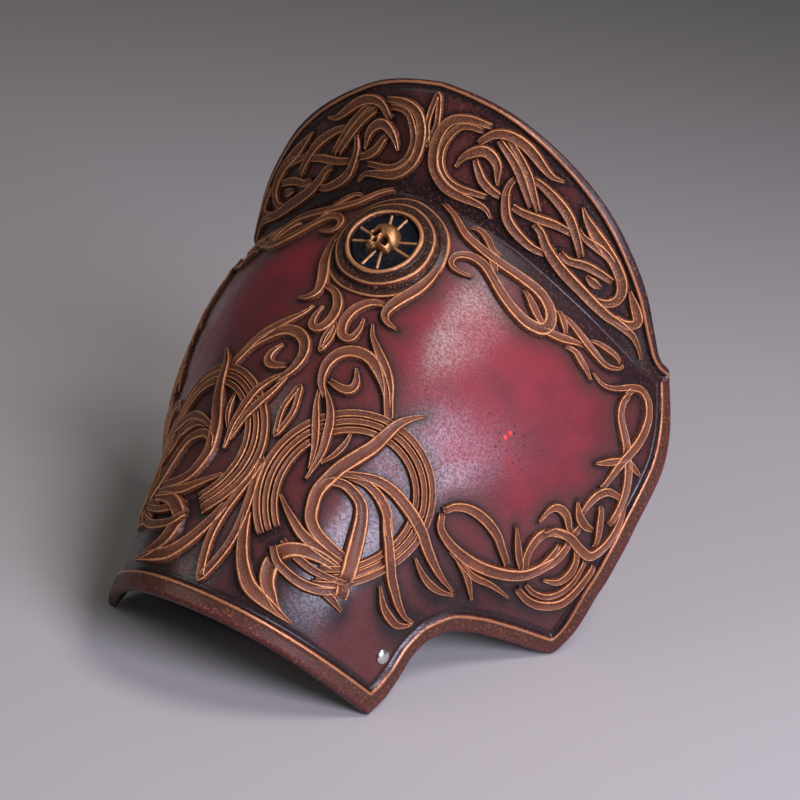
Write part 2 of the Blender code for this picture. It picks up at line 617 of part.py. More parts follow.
def build_boss():
    """The stepped boss: rings round its axis, its underside following the barrel's crown."""
    centre, side, onward, out = boss_frame()
    # Ring radii as shares of BOSS_RADIUS and heights as shares of BOSS_HEIGHT.
    profile = (
        (1.000, None), (0.985, 0.28), (0.900, 0.30), (0.870, 0.12), (0.830, 0.15), (0.800, 0.74), (0.700, 0.80),
        (0.670, 0.62), (0.640, 0.66), (0.625, 1.00), (RECESS_RADIUS / BOSS_RADIUS, 1.00),
    )
    sectors = 40
    turn = np.linspace(0.0, 2 * math.pi, sectors, endpoint=False)
    circle = np.cos(turn)[:, None] * side + np.sin(turn)[:, None] * onward
    rings = []
    for radius, height in profile:
        ring = centre + circle * radius * BOSS_RADIUS
        seat = ring.copy()
        seat[:, 2] = on_barrel(ring) + GAP / out[2]
        if height is None:
            rings.append(seat)
            continue
        blend = np.clip((1.0 - radius) * 4.0, 0.0, 1.0)
        flat = ring + out * height * BOSS_HEIGHT
        draped = seat + out * max(height, 0.15) * BOSS_HEIGHT
        rings.append(flat * blend + draped * (1 - blend))
    floor_ring = rings[-1] - out * RECESS_DEPTH
    floor_ring = centre + (floor_ring - centre)
    rings.append(floor_ring)
    floor_middle = floor_ring.mean(axis=0)
    under = []
    for radius in (0.55, 0.8):
        ring = centre + circle * radius * BOSS_RADIUS
        ring[:, 2] = on_barrel(ring) + GAP / out[2]
        under.append(ring)
    under_middle = centre + out * GAP
    points = np.concatenate(rings + under + [floor_middle[None], under_middle[None]])
    faces = []
    index = np.arange(sectors)
    after = np.roll(index, -1)
    for low in range(len(rings) - 1):
        here, there = index + low * sectors, after + low * sectors
        faces += zip(here, there, there + sectors, here + sectors)
    top = (len(rings) - 1) * sectors
    inner = len(rings) * sectors
    outer = inner + sectors
    middle = outer + sectors
    faces += zip(index + top, after + top, np.full(sectors, middle))
    faces += zip(after, index, index + outer, after + outer)
    faces += zip(after + outer, index + outer, index + inner, after + inner)
    faces += zip(after + inner, index + inner, np.full(sectors, middle + 1))
    faces = [tuple(int(value) for value in face) for face in faces]
    return new_object("boss", points, facing_out(points, faces), DARK_LEATHER, smooth=False)


def badge_place():
    """The middle of the recess's floor and the boss's axes."""
    centre, side, onward, out = boss_frame()
    return centre + out * (BOSS_HEIGHT - RECESS_DEPTH + GAP), side, onward, out


def build_badge():
    """The disc in the recess, with raised rays."""
    middle, side, onward, out = badge_place()
    radius = RECESS_RADIUS - GAP
    per_pair = 12
    sectors = RAY_PAIRS * per_pair
    pair = np.repeat(np.arange(RAY_PAIRS) * 2 * math.pi / RAY_PAIRS, per_pair)
    phase = np.tile(np.arange(per_pair), RAY_PAIRS)
    ray = np.isin(phase, (0, 1, 2, 3)).astype(float)[:, None]
    between = 2 * math.pi / RAY_PAIRS - 2 * RAY_SPREAD
    half = RAY_WIDTH / 2
    rings = []
    for share, height, raised in ((1.0, 0.0, 0.0), (1.0, 1.0, 1.0), (0.58, 1.0, 1.0), (0.55, 1.0, 0.0)):
        here = np.arcsin(min(1.0, half / (radius * share)))
        ray_edges = np.array([-RAY_SPREAD - here, -RAY_SPREAD + here, RAY_SPREAD - here, RAY_SPREAD + here])
        even = RAY_SPREAD + between * (phase - 3) / (per_pair - 3)
        angle = pair + np.where(phase < 4, ray_edges[np.minimum(phase, 3)], even)
        circle = np.cos(angle)[:, None] * side + np.sin(angle)[:, None] * onward
        rings.append(middle + circle * radius * share + out * BADGE_THICKNESS * height)
        rings[-1] = rings[-1] + out * RAY_RISE * ray * raised
    top_middle = middle + out * BADGE_THICKNESS
    points = np.concatenate(rings + [top_middle[None], middle[None]])
    faces = []
    index = np.arange(sectors)
    after = np.roll(index, -1)
    for low in range(3):
        here, there = index + low * sectors, after + low * sectors
        faces += zip(here, there, there + sectors, here + sectors)
    faces += zip(index + 3 * sectors, after + 3 * sectors, np.full(sectors, 4 * sectors))
    faces += zip(after, index, np.full(sectors, 4 * sectors + 1))
    faces = [tuple(int(value) for value in face) for face in faces]
    return new_object("skull_badge", points, facing_out(points, faces), DARK_LEATHER, smooth=False)


def build_skull():
    """A small skull lying on the badge: a rounded cap, brow, eye hollows, nose and narrow jaw."""
    middle, side, onward, out = badge_place()
    base = middle + out * (BADGE_THICKNESS + GAP)
    columns, rows = 15, 15
    across = np.linspace(-1.0, 1.0, columns)
    length = np.linspace(-1.0, 1.0, rows)
    wide, long = np.meshgrid(across, length)
    taper = np.where(long > -0.15, 1.0, 1.0 - 0.55 * np.clip((-long - 0.15) / 0.85, 0, 1) ** 1.2)
    square_x = wide * np.sqrt(np.maximum(0.0, 1 - 0.5 * long**2))
    square_y = long * np.sqrt(np.maximum(0.0, 1 - 0.5 * wide**2))
    radius = np.clip(square_x**2 + square_y**2, 0.0, 1.0)
    height = 0.12 + 0.88 * np.sqrt(np.maximum(0.0, 1.0 - radius))
    for eye in (-1.0, 1.0):
        spot = ((square_x - 0.36 * eye) / 0.24) ** 2 + ((square_y + 0.05) / 0.20) ** 2
        height = height - 0.38 * np.exp(-spot)
    nose = (square_x / 0.12) ** 2 + ((square_y + 0.42) / 0.14) ** 2
    height = height - 0.25 * np.exp(-nose)
    top = (
        base
        + side * (0.5 * SKULL_WIDTH * square_x * taper)[..., None]
        + onward * (0.5 * SKULL_LENGTH * square_y)[..., None]
        + out * (SKULL_HEIGHT * height)[..., None]
    )
    bottom = top - out * (np.sum((top - base) * out, axis=-1))[..., None]
    points, faces = closed_sheet(top, bottom)
    faces = [tuple(int(value) for value in face) for face in faces]
    return new_object("skull", points, facing_out(points, faces), BRONZE)


def build_rivets():
    """A domed rivet head on each hem corner."""
    made = []
    for name, sign in (("rivet_right", 1.0), ("rivet_left", -1.0)):
        centre, normal = face_frame("barrel", sign * RIVET_ACROSS, RIVET_ALONG)
        side = np.cross(normal, np.array([0.0, 1.0, 0.0]))
        side = side / np.linalg.norm(side)
        other = np.cross(normal, side)
        turn = np.linspace(0.0, 2 * math.pi, 16, endpoint=False)
        circle = np.cos(turn)[:, None] * side + np.sin(turn)[:, None] * other
        seat = centre + normal * GAP
        dome = ((1.0, 0.0), (0.97, 0.25), (0.8, 0.65), (0.45, 0.93))
        rings = [seat + circle * RIVET_RADIUS * out + normal * RIVET_RISE * up for out, up in dome]
        points = np.concatenate(rings + [(seat + normal * RIVET_RISE)[None], seat[None]])
        faces = []
        index = np.arange(16)
        after = np.roll(index, -1)
        for low in range(3):
            here, there = index + low * 16, after + low * 16
            faces += zip(here, there, there + 16, here + 16)
        faces += zip(index + 48, after + 48, np.full(16, 64))
        faces += zip(after, index, np.full(16, 65))
        faces = [tuple(int(value) for value in face) for face in faces]
        made.append(new_object(name, points, facing_out(points, faces), NICKEL))
    return made


def build_strap():
    """The arm strap: flat against both walls inside the hem corners, and across between them."""
    along = RIVET_ALONG * BARREL_LENGTH + STRAP_WIDTH / 2 * np.array([-0.75, 1.25])
    shares = np.linspace(0.60, STRAP_HEEL, 4)
    outer_rows = []
    for place in along:
        wall, normal = face_frame("barrel", shares, np.full(4, place / BARREL_LENGTH))
        outer_rows.append(wall - normal * (WALL + STRAP_SEAT))
    outer = np.stack(outer_rows, 1)
    low_x = outer[-1, :, 0]
    low_z = outer[-1, :, 2]
    bend = STRAP_DROP
    turn = np.linspace(0.0, math.pi / 2, 4)[1:]
    curve = [
        np.stack([low_x - bend * (1 - math.cos(angle)), along, low_z - bend * math.sin(angle)], -1)
        for angle in turn
    ]
    half = np.concatenate([outer, np.stack(curve)])
    left = half[::-1] * (-1, 1, 1)
    line = np.concatenate([half, left])
    onward = np.gradient(line, axis=0)
    width = np.array([0.0, 1.0, 0.0])
    inward = np.cross(onward, width)
    inward = inward / np.linalg.norm(inward, axis=-1, keepdims=True)
    if inward[0, 0, 0] > 0:
        inward = -inward
    inner = line + inward * STRAP_THICKNESS
    points, faces = closed_sheet(line, inner)
    faces = [tuple(int(value) for value in face) for face in faces]
    return new_object("arm_strap", points, facing_out(points, faces), BLACK_STRAP)


def build_shell():
    """The moulded leather wall, hollow underneath, with its raised border."""
    outer, inner, _ = shell_grids()
    points, faces = closed_sheet(outer, inner)
    faces = [tuple(int(value) for value in face) for face in faces]
    return new_object("shell", points, facing_out(points, faces), RED_LEATHER)


def standing(points):
    """Pitch and floor height of the stand on the hem corners and the lobe tips."""
    tip = next(row.along for row in EDGES if row.across == 1.0) * BARREL_LENGTH
    front = points[points[:, 1] < 0.5 * tip]
    back = points[points[:, 1] >= 0.5 * tip]
    low, high = math.radians(20), math.radians(70)
    for _ in range(60):
        pitch = 0.5 * (low + high)
        up = np.array([math.sin(pitch), math.cos(pitch)])
        if (front[:, 1:] @ up).min() < (back[:, 1:] @ up).min():
            high = pitch
        else:
            low = pitch
    return pitch, float((points[:, 1:] @ np.array([math.sin(pitch), math.cos(pitch)])).min())


def stand_up(things, shell):
    """Moves every mesh's points into the standing frame: +X across, +Y to the collar, +Z up."""
    points = np.array([vertex.co for vertex in shell.data.vertices])
    pitch, floor = standing(points)
    fore = np.array([math.cos(pitch), -math.sin(pitch)])
    depths = [np.array([vertex.co[1:] for vertex in thing.data.vertices]) @ fore for thing in things]
    middle = 0.5 * (min(depth.min() for depth in depths) + max(depth.max() for depth in depths))
    for thing in things:
        mesh = thing.data
        values = np.empty(len(mesh.vertices) * 3)
        mesh.vertices.foreach_get("co", values)
        values = values.reshape(-1, 3)
        along, up = values[:, 1].copy(), values[:, 2].copy()
        values[:, 1] = along * math.cos(pitch) - up * math.sin(pitch) - middle
        values[:, 2] = along * math.sin(pitch) + up * math.cos(pitch) - floor
        mesh.vertices.foreach_set("co", values.ravel())
        mesh.update()


def main():
    """Builds every piece and stands the whole on the floor."""
    clear_scene()
    shell = build_shell()
    things = [shell] + build_relief()
    things += [build_boss(), build_badge(), build_skull(), build_strap()]
    things += build_rivets()
    stand_up(things, shell)


main()
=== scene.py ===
"""A moulded leather pauldron, dressed around its CAD frame.

Everything is worked out in barrel coordinates: across runs from -1 at one lower edge to 1 at the
other, along runs in metres from the hem to the collar, and up is square to the barrel's axis. The
last step of each piece pitches it to the way the pauldron stands on its hem corners and lobe tips.
"""

import logging
import math
from dataclasses import dataclass, field
from enum import Enum
from typing import Optional, Sequence, Union

import bpy
import numpy as np
from mathutils import Matrix


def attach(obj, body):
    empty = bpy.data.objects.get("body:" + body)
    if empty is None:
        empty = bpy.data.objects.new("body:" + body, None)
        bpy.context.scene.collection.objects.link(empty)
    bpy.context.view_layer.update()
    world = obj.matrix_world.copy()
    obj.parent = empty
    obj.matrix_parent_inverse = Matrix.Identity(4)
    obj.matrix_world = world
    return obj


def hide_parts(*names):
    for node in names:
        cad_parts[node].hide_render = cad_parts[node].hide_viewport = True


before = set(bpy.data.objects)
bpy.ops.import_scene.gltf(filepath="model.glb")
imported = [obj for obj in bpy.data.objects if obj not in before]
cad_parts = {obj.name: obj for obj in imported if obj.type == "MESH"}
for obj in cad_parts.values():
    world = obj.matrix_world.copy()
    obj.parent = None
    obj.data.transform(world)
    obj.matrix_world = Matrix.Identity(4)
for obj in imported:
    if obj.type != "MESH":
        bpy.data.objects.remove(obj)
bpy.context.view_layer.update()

log = logging.getLogger("pauldron")

Array = np.ndarray
Bell = tuple[float, float, float]
Colour = tuple[float, float, float]
Material = bpy.types.Material
Node = bpy.types.Node
Socket = bpy.types.NodeSocket
Tree = bpy.types.NodeTree
Value = Union[Socket, float]
MM = 0.001
TINY = 1e-12


class Face(Enum):
    """The two faces that carry strapwork."""

    BARREL = "barrel"
    COLLAR = "collar"


class Side(Enum):
    """The side of the midplane that a piece is on, by the sign of x."""

    RIGHT = 1
    LEFT = -1


# The moulded form


def smooth_step(low: float, high: float, value: Array) -> Array:
    """Eases from 0 at low to 1 at high: 3s^2 - 2s^3 of the clamped share s.

    Args:
        low: Where the rise starts.
        high: Where it ends.
        value: The places to read.

    Returns:
        The eased values.
    """
    share = np.clip((value - low) / (high - low), 0.0, 1.0)
    return share * share * (3.0 - 2.0 * share)


def bump(value: Array, centre: float, width: float) -> Array:
    """A bell exp(-((value - centre) / width)^2)."""
    return np.exp(-(((value - centre) / width) ** 2))


def ridge(value: Array, bell: Bell) -> Array:
    """A bell of a given strength, centre and width."""
    return bell[0] * bump(value, bell[1], bell[2])


def unit(vectors: Array) -> Array:
    """The vectors divided by their lengths."""
    return vectors / np.maximum(np.linalg.norm(vectors, axis=-1, keepdims=True), TINY)


def circle(count: int) -> Array:
    """Angles of evenly spaced places round a circle."""
    return np.linspace(0.0, 2 * math.pi, count, endpoint=False)


def run_of(points: Array) -> Array:
    """The length of a line of points up to each of them."""
    return np.concatenate([[0.0], np.cumsum(np.linalg.norm(np.diff(points, axis=0), axis=1))])


def table(rows: Sequence[Sequence[float]]) -> Array:
    """A dataclass field whose usual value is an array of these rows."""
    return field(default_factory=lambda: np.array(rows))


def through(keys: Array, values: Array, place: Array) -> Array:
    """Cubic Hermite values between a table's rows, with slopes from the neighbouring rows.

    Args:
        keys: The rows' keys, rising.
        values: One row of values per key.
        place: Where to read.

    Returns:
        The values at each place, with the table's columns as the last axis.
    """
    place = np.asarray(place, float)
    slope = np.empty_like(values)
    slope[1:-1] = (values[2:] - values[:-2]) / (keys[2:] - keys[:-2])[:, None]
    slope[0] = (values[1] - values[0]) / (keys[1] - keys[0])
    slope[-1] = (values[-1] - values[-2]) / (keys[-1] - keys[-2])
    low = np.clip(np.searchsorted(keys, place, side="right") - 1, 0, len(keys) - 2)
    span = (keys[low + 1] - keys[low])[..., None]
    share = (place - keys[low])[..., None] / span
    start = (2 * share**3 - 3 * share**2 + 1) * values[low]
    start = start + (share**3 - 2 * share**2 + share) * span * slope[low]
    finish = (3 * share**2 - 2 * share**3) * values[low + 1]
    return start + finish + (share**3 - share**2) * span * slope[low + 1]


def catmull_rom(places: Array, steps: int = 14) -> Array:
    """A smooth path through chosen places: on each span the cubic that leaves and meets its ends
    along the line between their neighbours.

    Args:
        places: The chosen places, one row each.
        steps: Points per span.

    Returns:
        The path's points.
    """
    padded = np.vstack([2 * places[0] - places[1], places, 2 * places[-1] - places[-2]])
    before, start, finish, beyond = padded[:-3], padded[1:-2], padded[2:-1], padded[3:]
    share = np.linspace(0.0, 1.0, steps, endpoint=False)[:, None, None]
    linear = finish - before
    square = 2 * before - 5 * start + 4 * finish - beyond
    cubic = 3 * start - before - 3 * finish + beyond
    path = 0.5 * (2 * start + linear * share + square * share**2 + cubic * share**3)
    path = path.transpose(1, 0, 2).reshape(-1, places.shape[1])
    return np.vstack([path, places[-1:]])


@dataclass
class MouldedForm:
    """The barrel and collar as smooth faces, with the sizes that the CAD solids have.

    A section's row is: along (share of length), crown, shoulder_x, flank_x, flank_drop, foot_x,
    foot_drop. A collar's row is: across, crease (share of length), reach, rise, spread. An edge's
    row is: along (share of length), across.
    """

    length: float = 0.240
    half_width: float = 0.1455
    depth: float = 0.144
    collar_reach: float = 0.048
    collar_rise: float = 0.0355
    collar_spread: float = 0.010
    wall: float = 0.0036
    pitch: float = math.radians(41.537541)
    lift: float = 0.0521248
    middle: float = 0.1226615
    across_step: float = 0.004
    along_step: float = 1.0 * MM
    height_step: float = 0.01
    edge_shifts: tuple[float, ...] = (-2.5, -1.2, 0.0, 1.2, 2.5)
    edge_weights: tuple[float, ...] = (0.12, 0.23, 0.30, 0.23, 0.12)
    sections: Array = table((
        (0.000, 0.000, 0.316, 0.454, 0.292, 0.591, 0.597),
        (0.167, 0.014, 0.426, 0.515, 0.326, 0.639, 0.847),
        (0.333, 0.021, 0.474, 0.564, 0.382, 0.845, 1.000),
        (0.500, 0.042, 0.481, 0.653, 0.417, 0.969, 0.958),
        (0.667, 0.035, 0.474, 0.715, 0.417, 1.000, 0.868),
        (0.833, 0.003, 0.412, 0.756, 0.403, 0.979, 0.778),
        (1.021, -0.028, 0.289, 0.729, 0.417, 0.852, 0.681),
    ))
    collars: Array = table((
        (0.00, 1.006, 1.000, 0.990, 0.00),
        (0.20, 1.005, 0.965, 0.935, 0.81),
        (0.31, 1.000, 0.917, 0.830, 1.26),
        (0.42, 0.989, 0.840, 0.730, 1.60),
        (0.52, 0.975, 0.760, 0.605, 1.68),
        (0.62, 0.962, 0.650, 0.470, 1.45),
        (0.73, 0.948, 0.510, 0.380, 0.98),
        (0.85, 0.935, 0.350, 0.320, 0.18),
        (0.93, 0.941, 0.200, 0.220, -0.20),
        (1.00, 0.966, 0.120, 0.050, -0.30),
    ))
    edges: Array = table((
        (0.000, 0.860), (0.050, 0.855), (0.104, 0.830), (0.158, 0.795), (0.204, 0.780), (0.250, 0.793),
        (0.283, 0.845), (0.317, 0.925), (0.335, 0.975), (0.348, 1.000), (0.408, 0.995), (0.492, 0.978),
        (0.575, 0.975), (0.667, 0.980), (0.800, 0.995), (1.021, 1.000),
    ))

    def barrel(self, across: Array, along: Array) -> Array:
        """A place on the barrel: each half section is the cubic Bezier curve from the crown through
        shoulder and flank to the foot, and its four points run smoothly from row to row.

        Args:
            across: Shares from -1 to 1.
            along: Metres from the hem.

        Returns:
            Barrel coordinates (x, along, up).
        """
        across, along = np.broadcast_arrays(np.asarray(across, float), np.asarray(along, float))
        row = through(self.sections[:, 0], self.sections[:, 1:], along / self.length)
        side = np.abs(across)
        near = 3 * side * (1 - side) ** 2
        middle = 3 * side**2 * (1 - side)
        foot = side**3
        out = self.half_width * (row[..., 1] * near + row[..., 2] * middle + row[..., 4] * foot)
        drop = row[..., 3] * middle + row[..., 5] * foot
        return np.stack([np.sign(across) * out, along, self.depth * (row[..., 0] - drop)], -1)

    def crease(self, across: Array) -> Array:
        """How far along the crease lies, in metres."""
        return through(self.collars[:, 0], self.collars[:, 1:], np.abs(across))[..., 0] * self.length

    def collar(self, across: Array, height: Array) -> Array:
        """A place on the collar: the crease's place plus height times the way from crease to rim.

        Args:
            across: Shares from -1 to 1.
            height: 0 at the crease and 1 at the rim.

        Returns:
            Barrel coordinates.
        """
        across, height = np.broadcast_arrays(np.asarray(across, float), np.asarray(height, float))
        row = through(self.collars[:, 0], self.collars[:, 1:], np.abs(across))
        foot = self.barrel(across, row[..., 0] * self.length)
        way = np.stack(
            [
                np.sign(across) * row[..., 3] * self.collar_spread,
                row[..., 1] * self.collar_reach,
                row[..., 2] * self.collar_rise,
            ],
            -1,
        )
        return foot + way * height[..., None]

    def place(self, face: Face, across: Array, second: Array) -> Array:
        """A place on a face; second is metres along the barrel, or a share of the collar's height."""
        return self.barrel(across, second) if face is Face.BARREL else self.collar(across, second)

    def frame_at(self, face: Face, across: Array, second: Array) -> tuple[Array, Array]:
        """Places and outward normals: the cross product of small steps across and onward.

        Args:
            face: The face that carries the places.
            across: Shares from -1 to 1.
            second: Metres along the barrel, or a share of the collar's height.

        Returns:
            The places and their unit normals.
        """
        step = self.across_step
        onward_step = self.along_step if face is Face.BARREL else self.height_step
        sideways = self.place(face, across + step, second) - self.place(face, across - step, second)
        onward = self.place(face, across, second + onward_step)
        onward = onward - self.place(face, across, second - onward_step)
        return self.place(face, across, second), unit(np.cross(sideways, onward))

    def limit(self, along: Array) -> Array:
        """How far across the leather goes, the edge table's straight runs rounded at its corners by
        averaging five places over 5 mm.

        Args:
            along: Metres from the hem.

        Returns:
            Shares of the section.
        """
        keys, values = self.edges[:, 0] * self.length, self.edges[:, 1]
        places = np.asarray(along)[..., None] + np.array(self.edge_shifts) * MM
        return np.interp(np.clip(places, 0, keys[-1]), keys, values) @ np.array(self.edge_weights)

    def stand(self, points: Array) -> Array:
        """Turns barrel coordinates about x by the pitch and drops them to the floor.

        Args:
            points: Barrel coordinates.

        Returns:
            The same places as the pauldron stands.
        """
        x, along, up = points[..., 0], points[..., 1], points[..., 2]
        deep = along * math.cos(self.pitch) - up * math.sin(self.pitch) - self.middle
        high = along * math.sin(self.pitch) + up * math.cos(self.pitch) + self.lift
        return np.stack([x, deep, high], -1)


# Meshes


def grid_quads(rows: int, columns: int, wrap_rows: bool = False, wrap_columns: bool = False) -> Array:
    """Quads of a grid whose points are stored row by row.

    Args:
        rows: Number of rows.
        columns: Number of columns.
        wrap_rows: Joins the last row to the first.
        wrap_columns: Joins the last column to the first.

    Returns:
        One row of four indices per quad.
    """
    index = np.arange(rows * columns).reshape(rows, columns)
    if wrap_rows:
        index = np.vstack([index, index[:1]])
    if wrap_columns:
        index = np.hstack([index, index[:, :1]])
    return np.stack([index[:-1, :-1], index[:-1, 1:], index[1:, 1:], index[1:, :-1]], -1).reshape(-1, 4)


def band(upper: Array, lower: Array) -> Array:
    """Quads between two closed rings of point numbers."""
    return np.stack([np.roll(upper, -1), upper, lower, np.roll(lower, -1)], -1)


def fan(ring: Array, hub: int) -> Array:
    """Triangles from a closed ring of point numbers to the hub's number."""
    return np.stack([ring, np.roll(ring, -1), np.full(len(ring), hub)], -1)


@dataclass
class Patch:
    """Points with faces and the wear, shade and tone that the finishes read at each point."""

    points: Array
    quads: Array
    rub: Array
    shade: Array
    triangles: Array = field(default_factory=lambda: np.empty((0, 3), int))
    tone: Optional[Array] = None

    def mirrored(self) -> "Patch":
        """The same patch on the other side of the midplane, with its faces turned to match."""
        points, quads, triangles = self.points * (-1, 1, 1), self.quads[:, ::-1], self.triangles[:, ::-1]
        return Patch(points, quads, self.rub, self.shade, triangles, self.tone)


def joined(patches: Sequence[Patch]) -> Patch:
    """One patch from several, their indices shifted by the points before them.

    Args:
        patches: Patches that all have a tone.

    Returns:
        The whole.
    """
    starts = np.cumsum([0] + [len(patch.points) for patch in patches[:-1]])
    return Patch(
        np.concatenate([patch.points for patch in patches]),
        np.concatenate([patch.quads + start for patch, start in zip(patches, starts)]),
        np.concatenate([patch.rub for patch in patches]),
        np.concatenate([patch.shade for patch in patches]),
        np.concatenate([patch.triangles + start for patch, start in zip(patches, starts)]),
        np.concatenate([patch.tone for patch in patches]),
    )


def turned_out(patch: Patch) -> Patch:
    """The patch with its faces turned so that its volume, summed over face fans, is positive.

    Args:
        patch: A closed patch.

    Returns:
        The same patch.
    """
    first, second, third, fourth = (patch.points[patch.quads[:, k]] for k in range(4))
    volume = np.einsum("ij,ij->i", first, np.cross(second, third) + np.cross(third, fourth)).sum()
    one, two, three = (patch.points[patch.triangles[:, k]] for k in range(3))
    volume += np.einsum("ij,ij->i", one, np.cross(two, three)).sum()
    if volume < 0:
        patch.quads, patch.triangles = patch.quads[:, ::-1], patch.triangles[:, ::-1]
    return patch


def make_piece(name: str, patch: Patch, form: MouldedForm, material: Material) -> bpy.types.Object:
    """A standing mesh object from a patch in barrel coordinates, riding on the part's one body.

    Args:
        name: The piece's name.
        patch: Its points, faces and values.
        form: The form that says how the pauldron stands.
        material: Its finish.

    Returns:
        The new object.
    """
    points = form.stand(patch.points)
    corners = np.concatenate([patch.quads.ravel(), patch.triangles.ravel()]).astype(np.int32)
    sizes = np.concatenate([np.full(len(patch.quads), 4), np.full(len(patch.triangles), 3)])
    starts = np.concatenate([[0], np.cumsum(sizes)[:-1]])
    mesh = bpy.data.meshes.new(name)
    mesh.vertices.add(len(points))
    mesh.vertices.foreach_set("co", points.astype(np.float32).ravel())
    mesh.loops.add(len(corners))
    mesh.loops.foreach_set("vertex_index", corners)
    mesh.polygons.add(len(sizes))
    mesh.polygons.foreach_set("loop_start", starts.astype(np.int32))
    mesh.polygons.foreach_set("use_smooth", np.full(len(sizes), True))
    for label, values in (("rub", patch.rub), ("shade", patch.shade), ("tone", patch.tone)):
        if values is not None:
            made = mesh.attributes.new(label, "FLOAT", "POINT")
            made.data.foreach_set("value", np.asarray(values, np.float32))
    mesh.update(calc_edges=True)
    mesh.validate()
    mesh.materials.append(material)
    piece = bpy.data.objects.new(name, mesh)
    bpy.context.scene.collection.objects.link(piece)
    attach(piece, "root")
    log.info("%s: %d points, %d faces", name, len(points), len(sizes))
    return piece


# Finishes


class Nodes:
    """A small helper that adds shader nodes to a tree and links them."""

    def __init__(self, tree: Tree) -> None:
        """Keeps the tree."""
        self.tree = tree

    def add(self, kind: str, **values: object) -> Node:
        """Adds a node, sets its properties and its inputs' values.

        Args:
            kind: The node's type name.
            values: Properties by name, or input values by input name with _ for a space.

        Returns:
            The new node.
        """
        node = self.tree.nodes.new(kind)
        for key, value in values.items():
            if hasattr(node, key):
                setattr(node, key, value)
            else:
                node.inputs[key.replace("_", " ")].default_value = value
        return node

    def link(self, start: Socket, end: Socket) -> None:
        """Links one socket to another."""
        self.tree.links.new(start, end)

    def feed(self, value: Value, socket: Socket) -> None:
        """Links a socket to another, or sets it to a number or a colour.

        Args:
            value: A socket, a number or a colour of three shares.
            socket: The input that takes it.
        """
        if isinstance(value, Socket):
            self.link(value, socket)
        else:
            socket.default_value = (*value, 1.0) if isinstance(value, tuple) else value

    def math(self, operation: str, first: Value, second: Value, clamp: bool = False) -> Socket:
        """A Math node on two sockets or numbers.

        Args:
            operation: The node's operation.
            first: A socket or a number.
            second: A socket or a number.
            clamp: Keeps the result between 0 and 1.

        Returns:
            The result's socket.
        """
        node = self.add("ShaderNodeMath", operation=operation, use_clamp=clamp)
        self.feed(first, node.inputs[0])
        self.feed(second, node.inputs[1])
        return node.outputs[0]

    def times(self, first: Value, second: Value, clamp: bool = False) -> Socket:
        """The product of two sockets or numbers."""
        return self.math("MULTIPLY", first, second, clamp)

    def plus(self, first: Value, second: Value) -> Socket:
        """The sum of two sockets or numbers."""
        return self.math("ADD", first, second)

    def minus(self, first: Value, second: Value) -> Socket:
        """The first socket or number less the second."""
        return self.math("SUBTRACT", first, second)

    def mix(self, share: Value, first: Union[Socket, Colour], second: Colour) -> Socket:
        """A colour mix.

        Args:
            share: How much of the second colour shows.
            first: The colour at 0.
            second: The colour at 1.

        Returns:
            The mixed colour's socket.
        """
        node = self.add("ShaderNodeMix", data_type="RGBA")
        self.feed(share, node.inputs["Factor"])
        self.feed(first, node.inputs[6])
        self.feed(second, node.inputs[7])
        return node.outputs[2]

    def ramp(self, value: Socket, low: float, high: float) -> Socket:
        """Maps low..high to 0..1 with a smooth step.

        Args:
            value: What is mapped.
            low: Where the rise starts.
            high: Where it ends.

        Returns:
            The eased value's socket.
        """
        node = self.add("ShaderNodeMapRange", interpolation_type="SMOOTHSTEP", From_Min=low, From_Max=high)
        self.link(value, node.inputs["Value"])
        return node.outputs["Result"]

    def attribute(self, name: str) -> Socket:
        """The value of a mesh attribute at the shaded point."""
        return self.add("ShaderNodeAttribute", attribute_name=name).outputs["Fac"]

    def group(self, tree: Tree, **values: float) -> Node:
        """Places a shared group with its own values."""
        return self.add("ShaderNodeGroup", node_tree=tree, **values)

    def texture(self, kind: str, scale: Optional[Socket] = None, **values: object) -> Node:
        """A texture node that reads Object coordinates.

        Args:
            kind: The node's type name.
            scale: The socket that sets its scale, where that isn't a constant.
            values: Properties and input values, as add takes them.

        Returns:
            The texture node.
        """
        node = self.add(kind, **values)
        self.link(self.add("ShaderNodeTexCoord").outputs["Object"], node.inputs["Vector"])
        if scale is not None:
            self.link(scale, node.inputs["Scale"])
        return node

    def emboss(self, shader: Node, grain: Node, depth: float, reach: float) -> None:
        """Presses the grain group's height into the shader's normal.

        Args:
            shader: The finish's shader.
            grain: The placed grain group.
            depth: The bump's strength.
            reach: The bump's distance in metres.
        """
        relief = self.add("ShaderNodeBump", Strength=depth, Distance=reach)
        self.link(grain.outputs["Height"], relief.inputs["Height"])
        self.link(relief.outputs["Normal"], shader.inputs["Normal"])


def new_group(name: str, inputs: dict[str, float], outputs: Sequence[str]) -> tuple[Tree, Nodes]:
    """An empty shader node group with float sockets.

    Args:
        name: The group's name.
        inputs: Input names and their usual values.
        outputs: Output names.

    Returns:
        The group and a helper on it.
    """
    tree = bpy.data.node_groups.new(name, "ShaderNodeTree")
    for label, value in inputs.items():
        socket = tree.interface.new_socket(label, in_out="INPUT", socket_type="NodeSocketFloat")
        socket.default_value = value
    for label in outputs:
        tree.interface.new_socket(label, in_out="OUTPUT", socket_type="NodeSocketFloat")
    return tree, Nodes(tree)


def new_finish(name: str) -> tuple[Material, Nodes, Node]:
    """A new material.

    Args:
        name: Its name.

    Returns:
        The material, a helper on its nodes, and its shader.
    """
    made = bpy.data.materials.new(name)
    made.use_nodes = True
    return made, Nodes(made.node_tree), made.node_tree.nodes["Principled BSDF"]


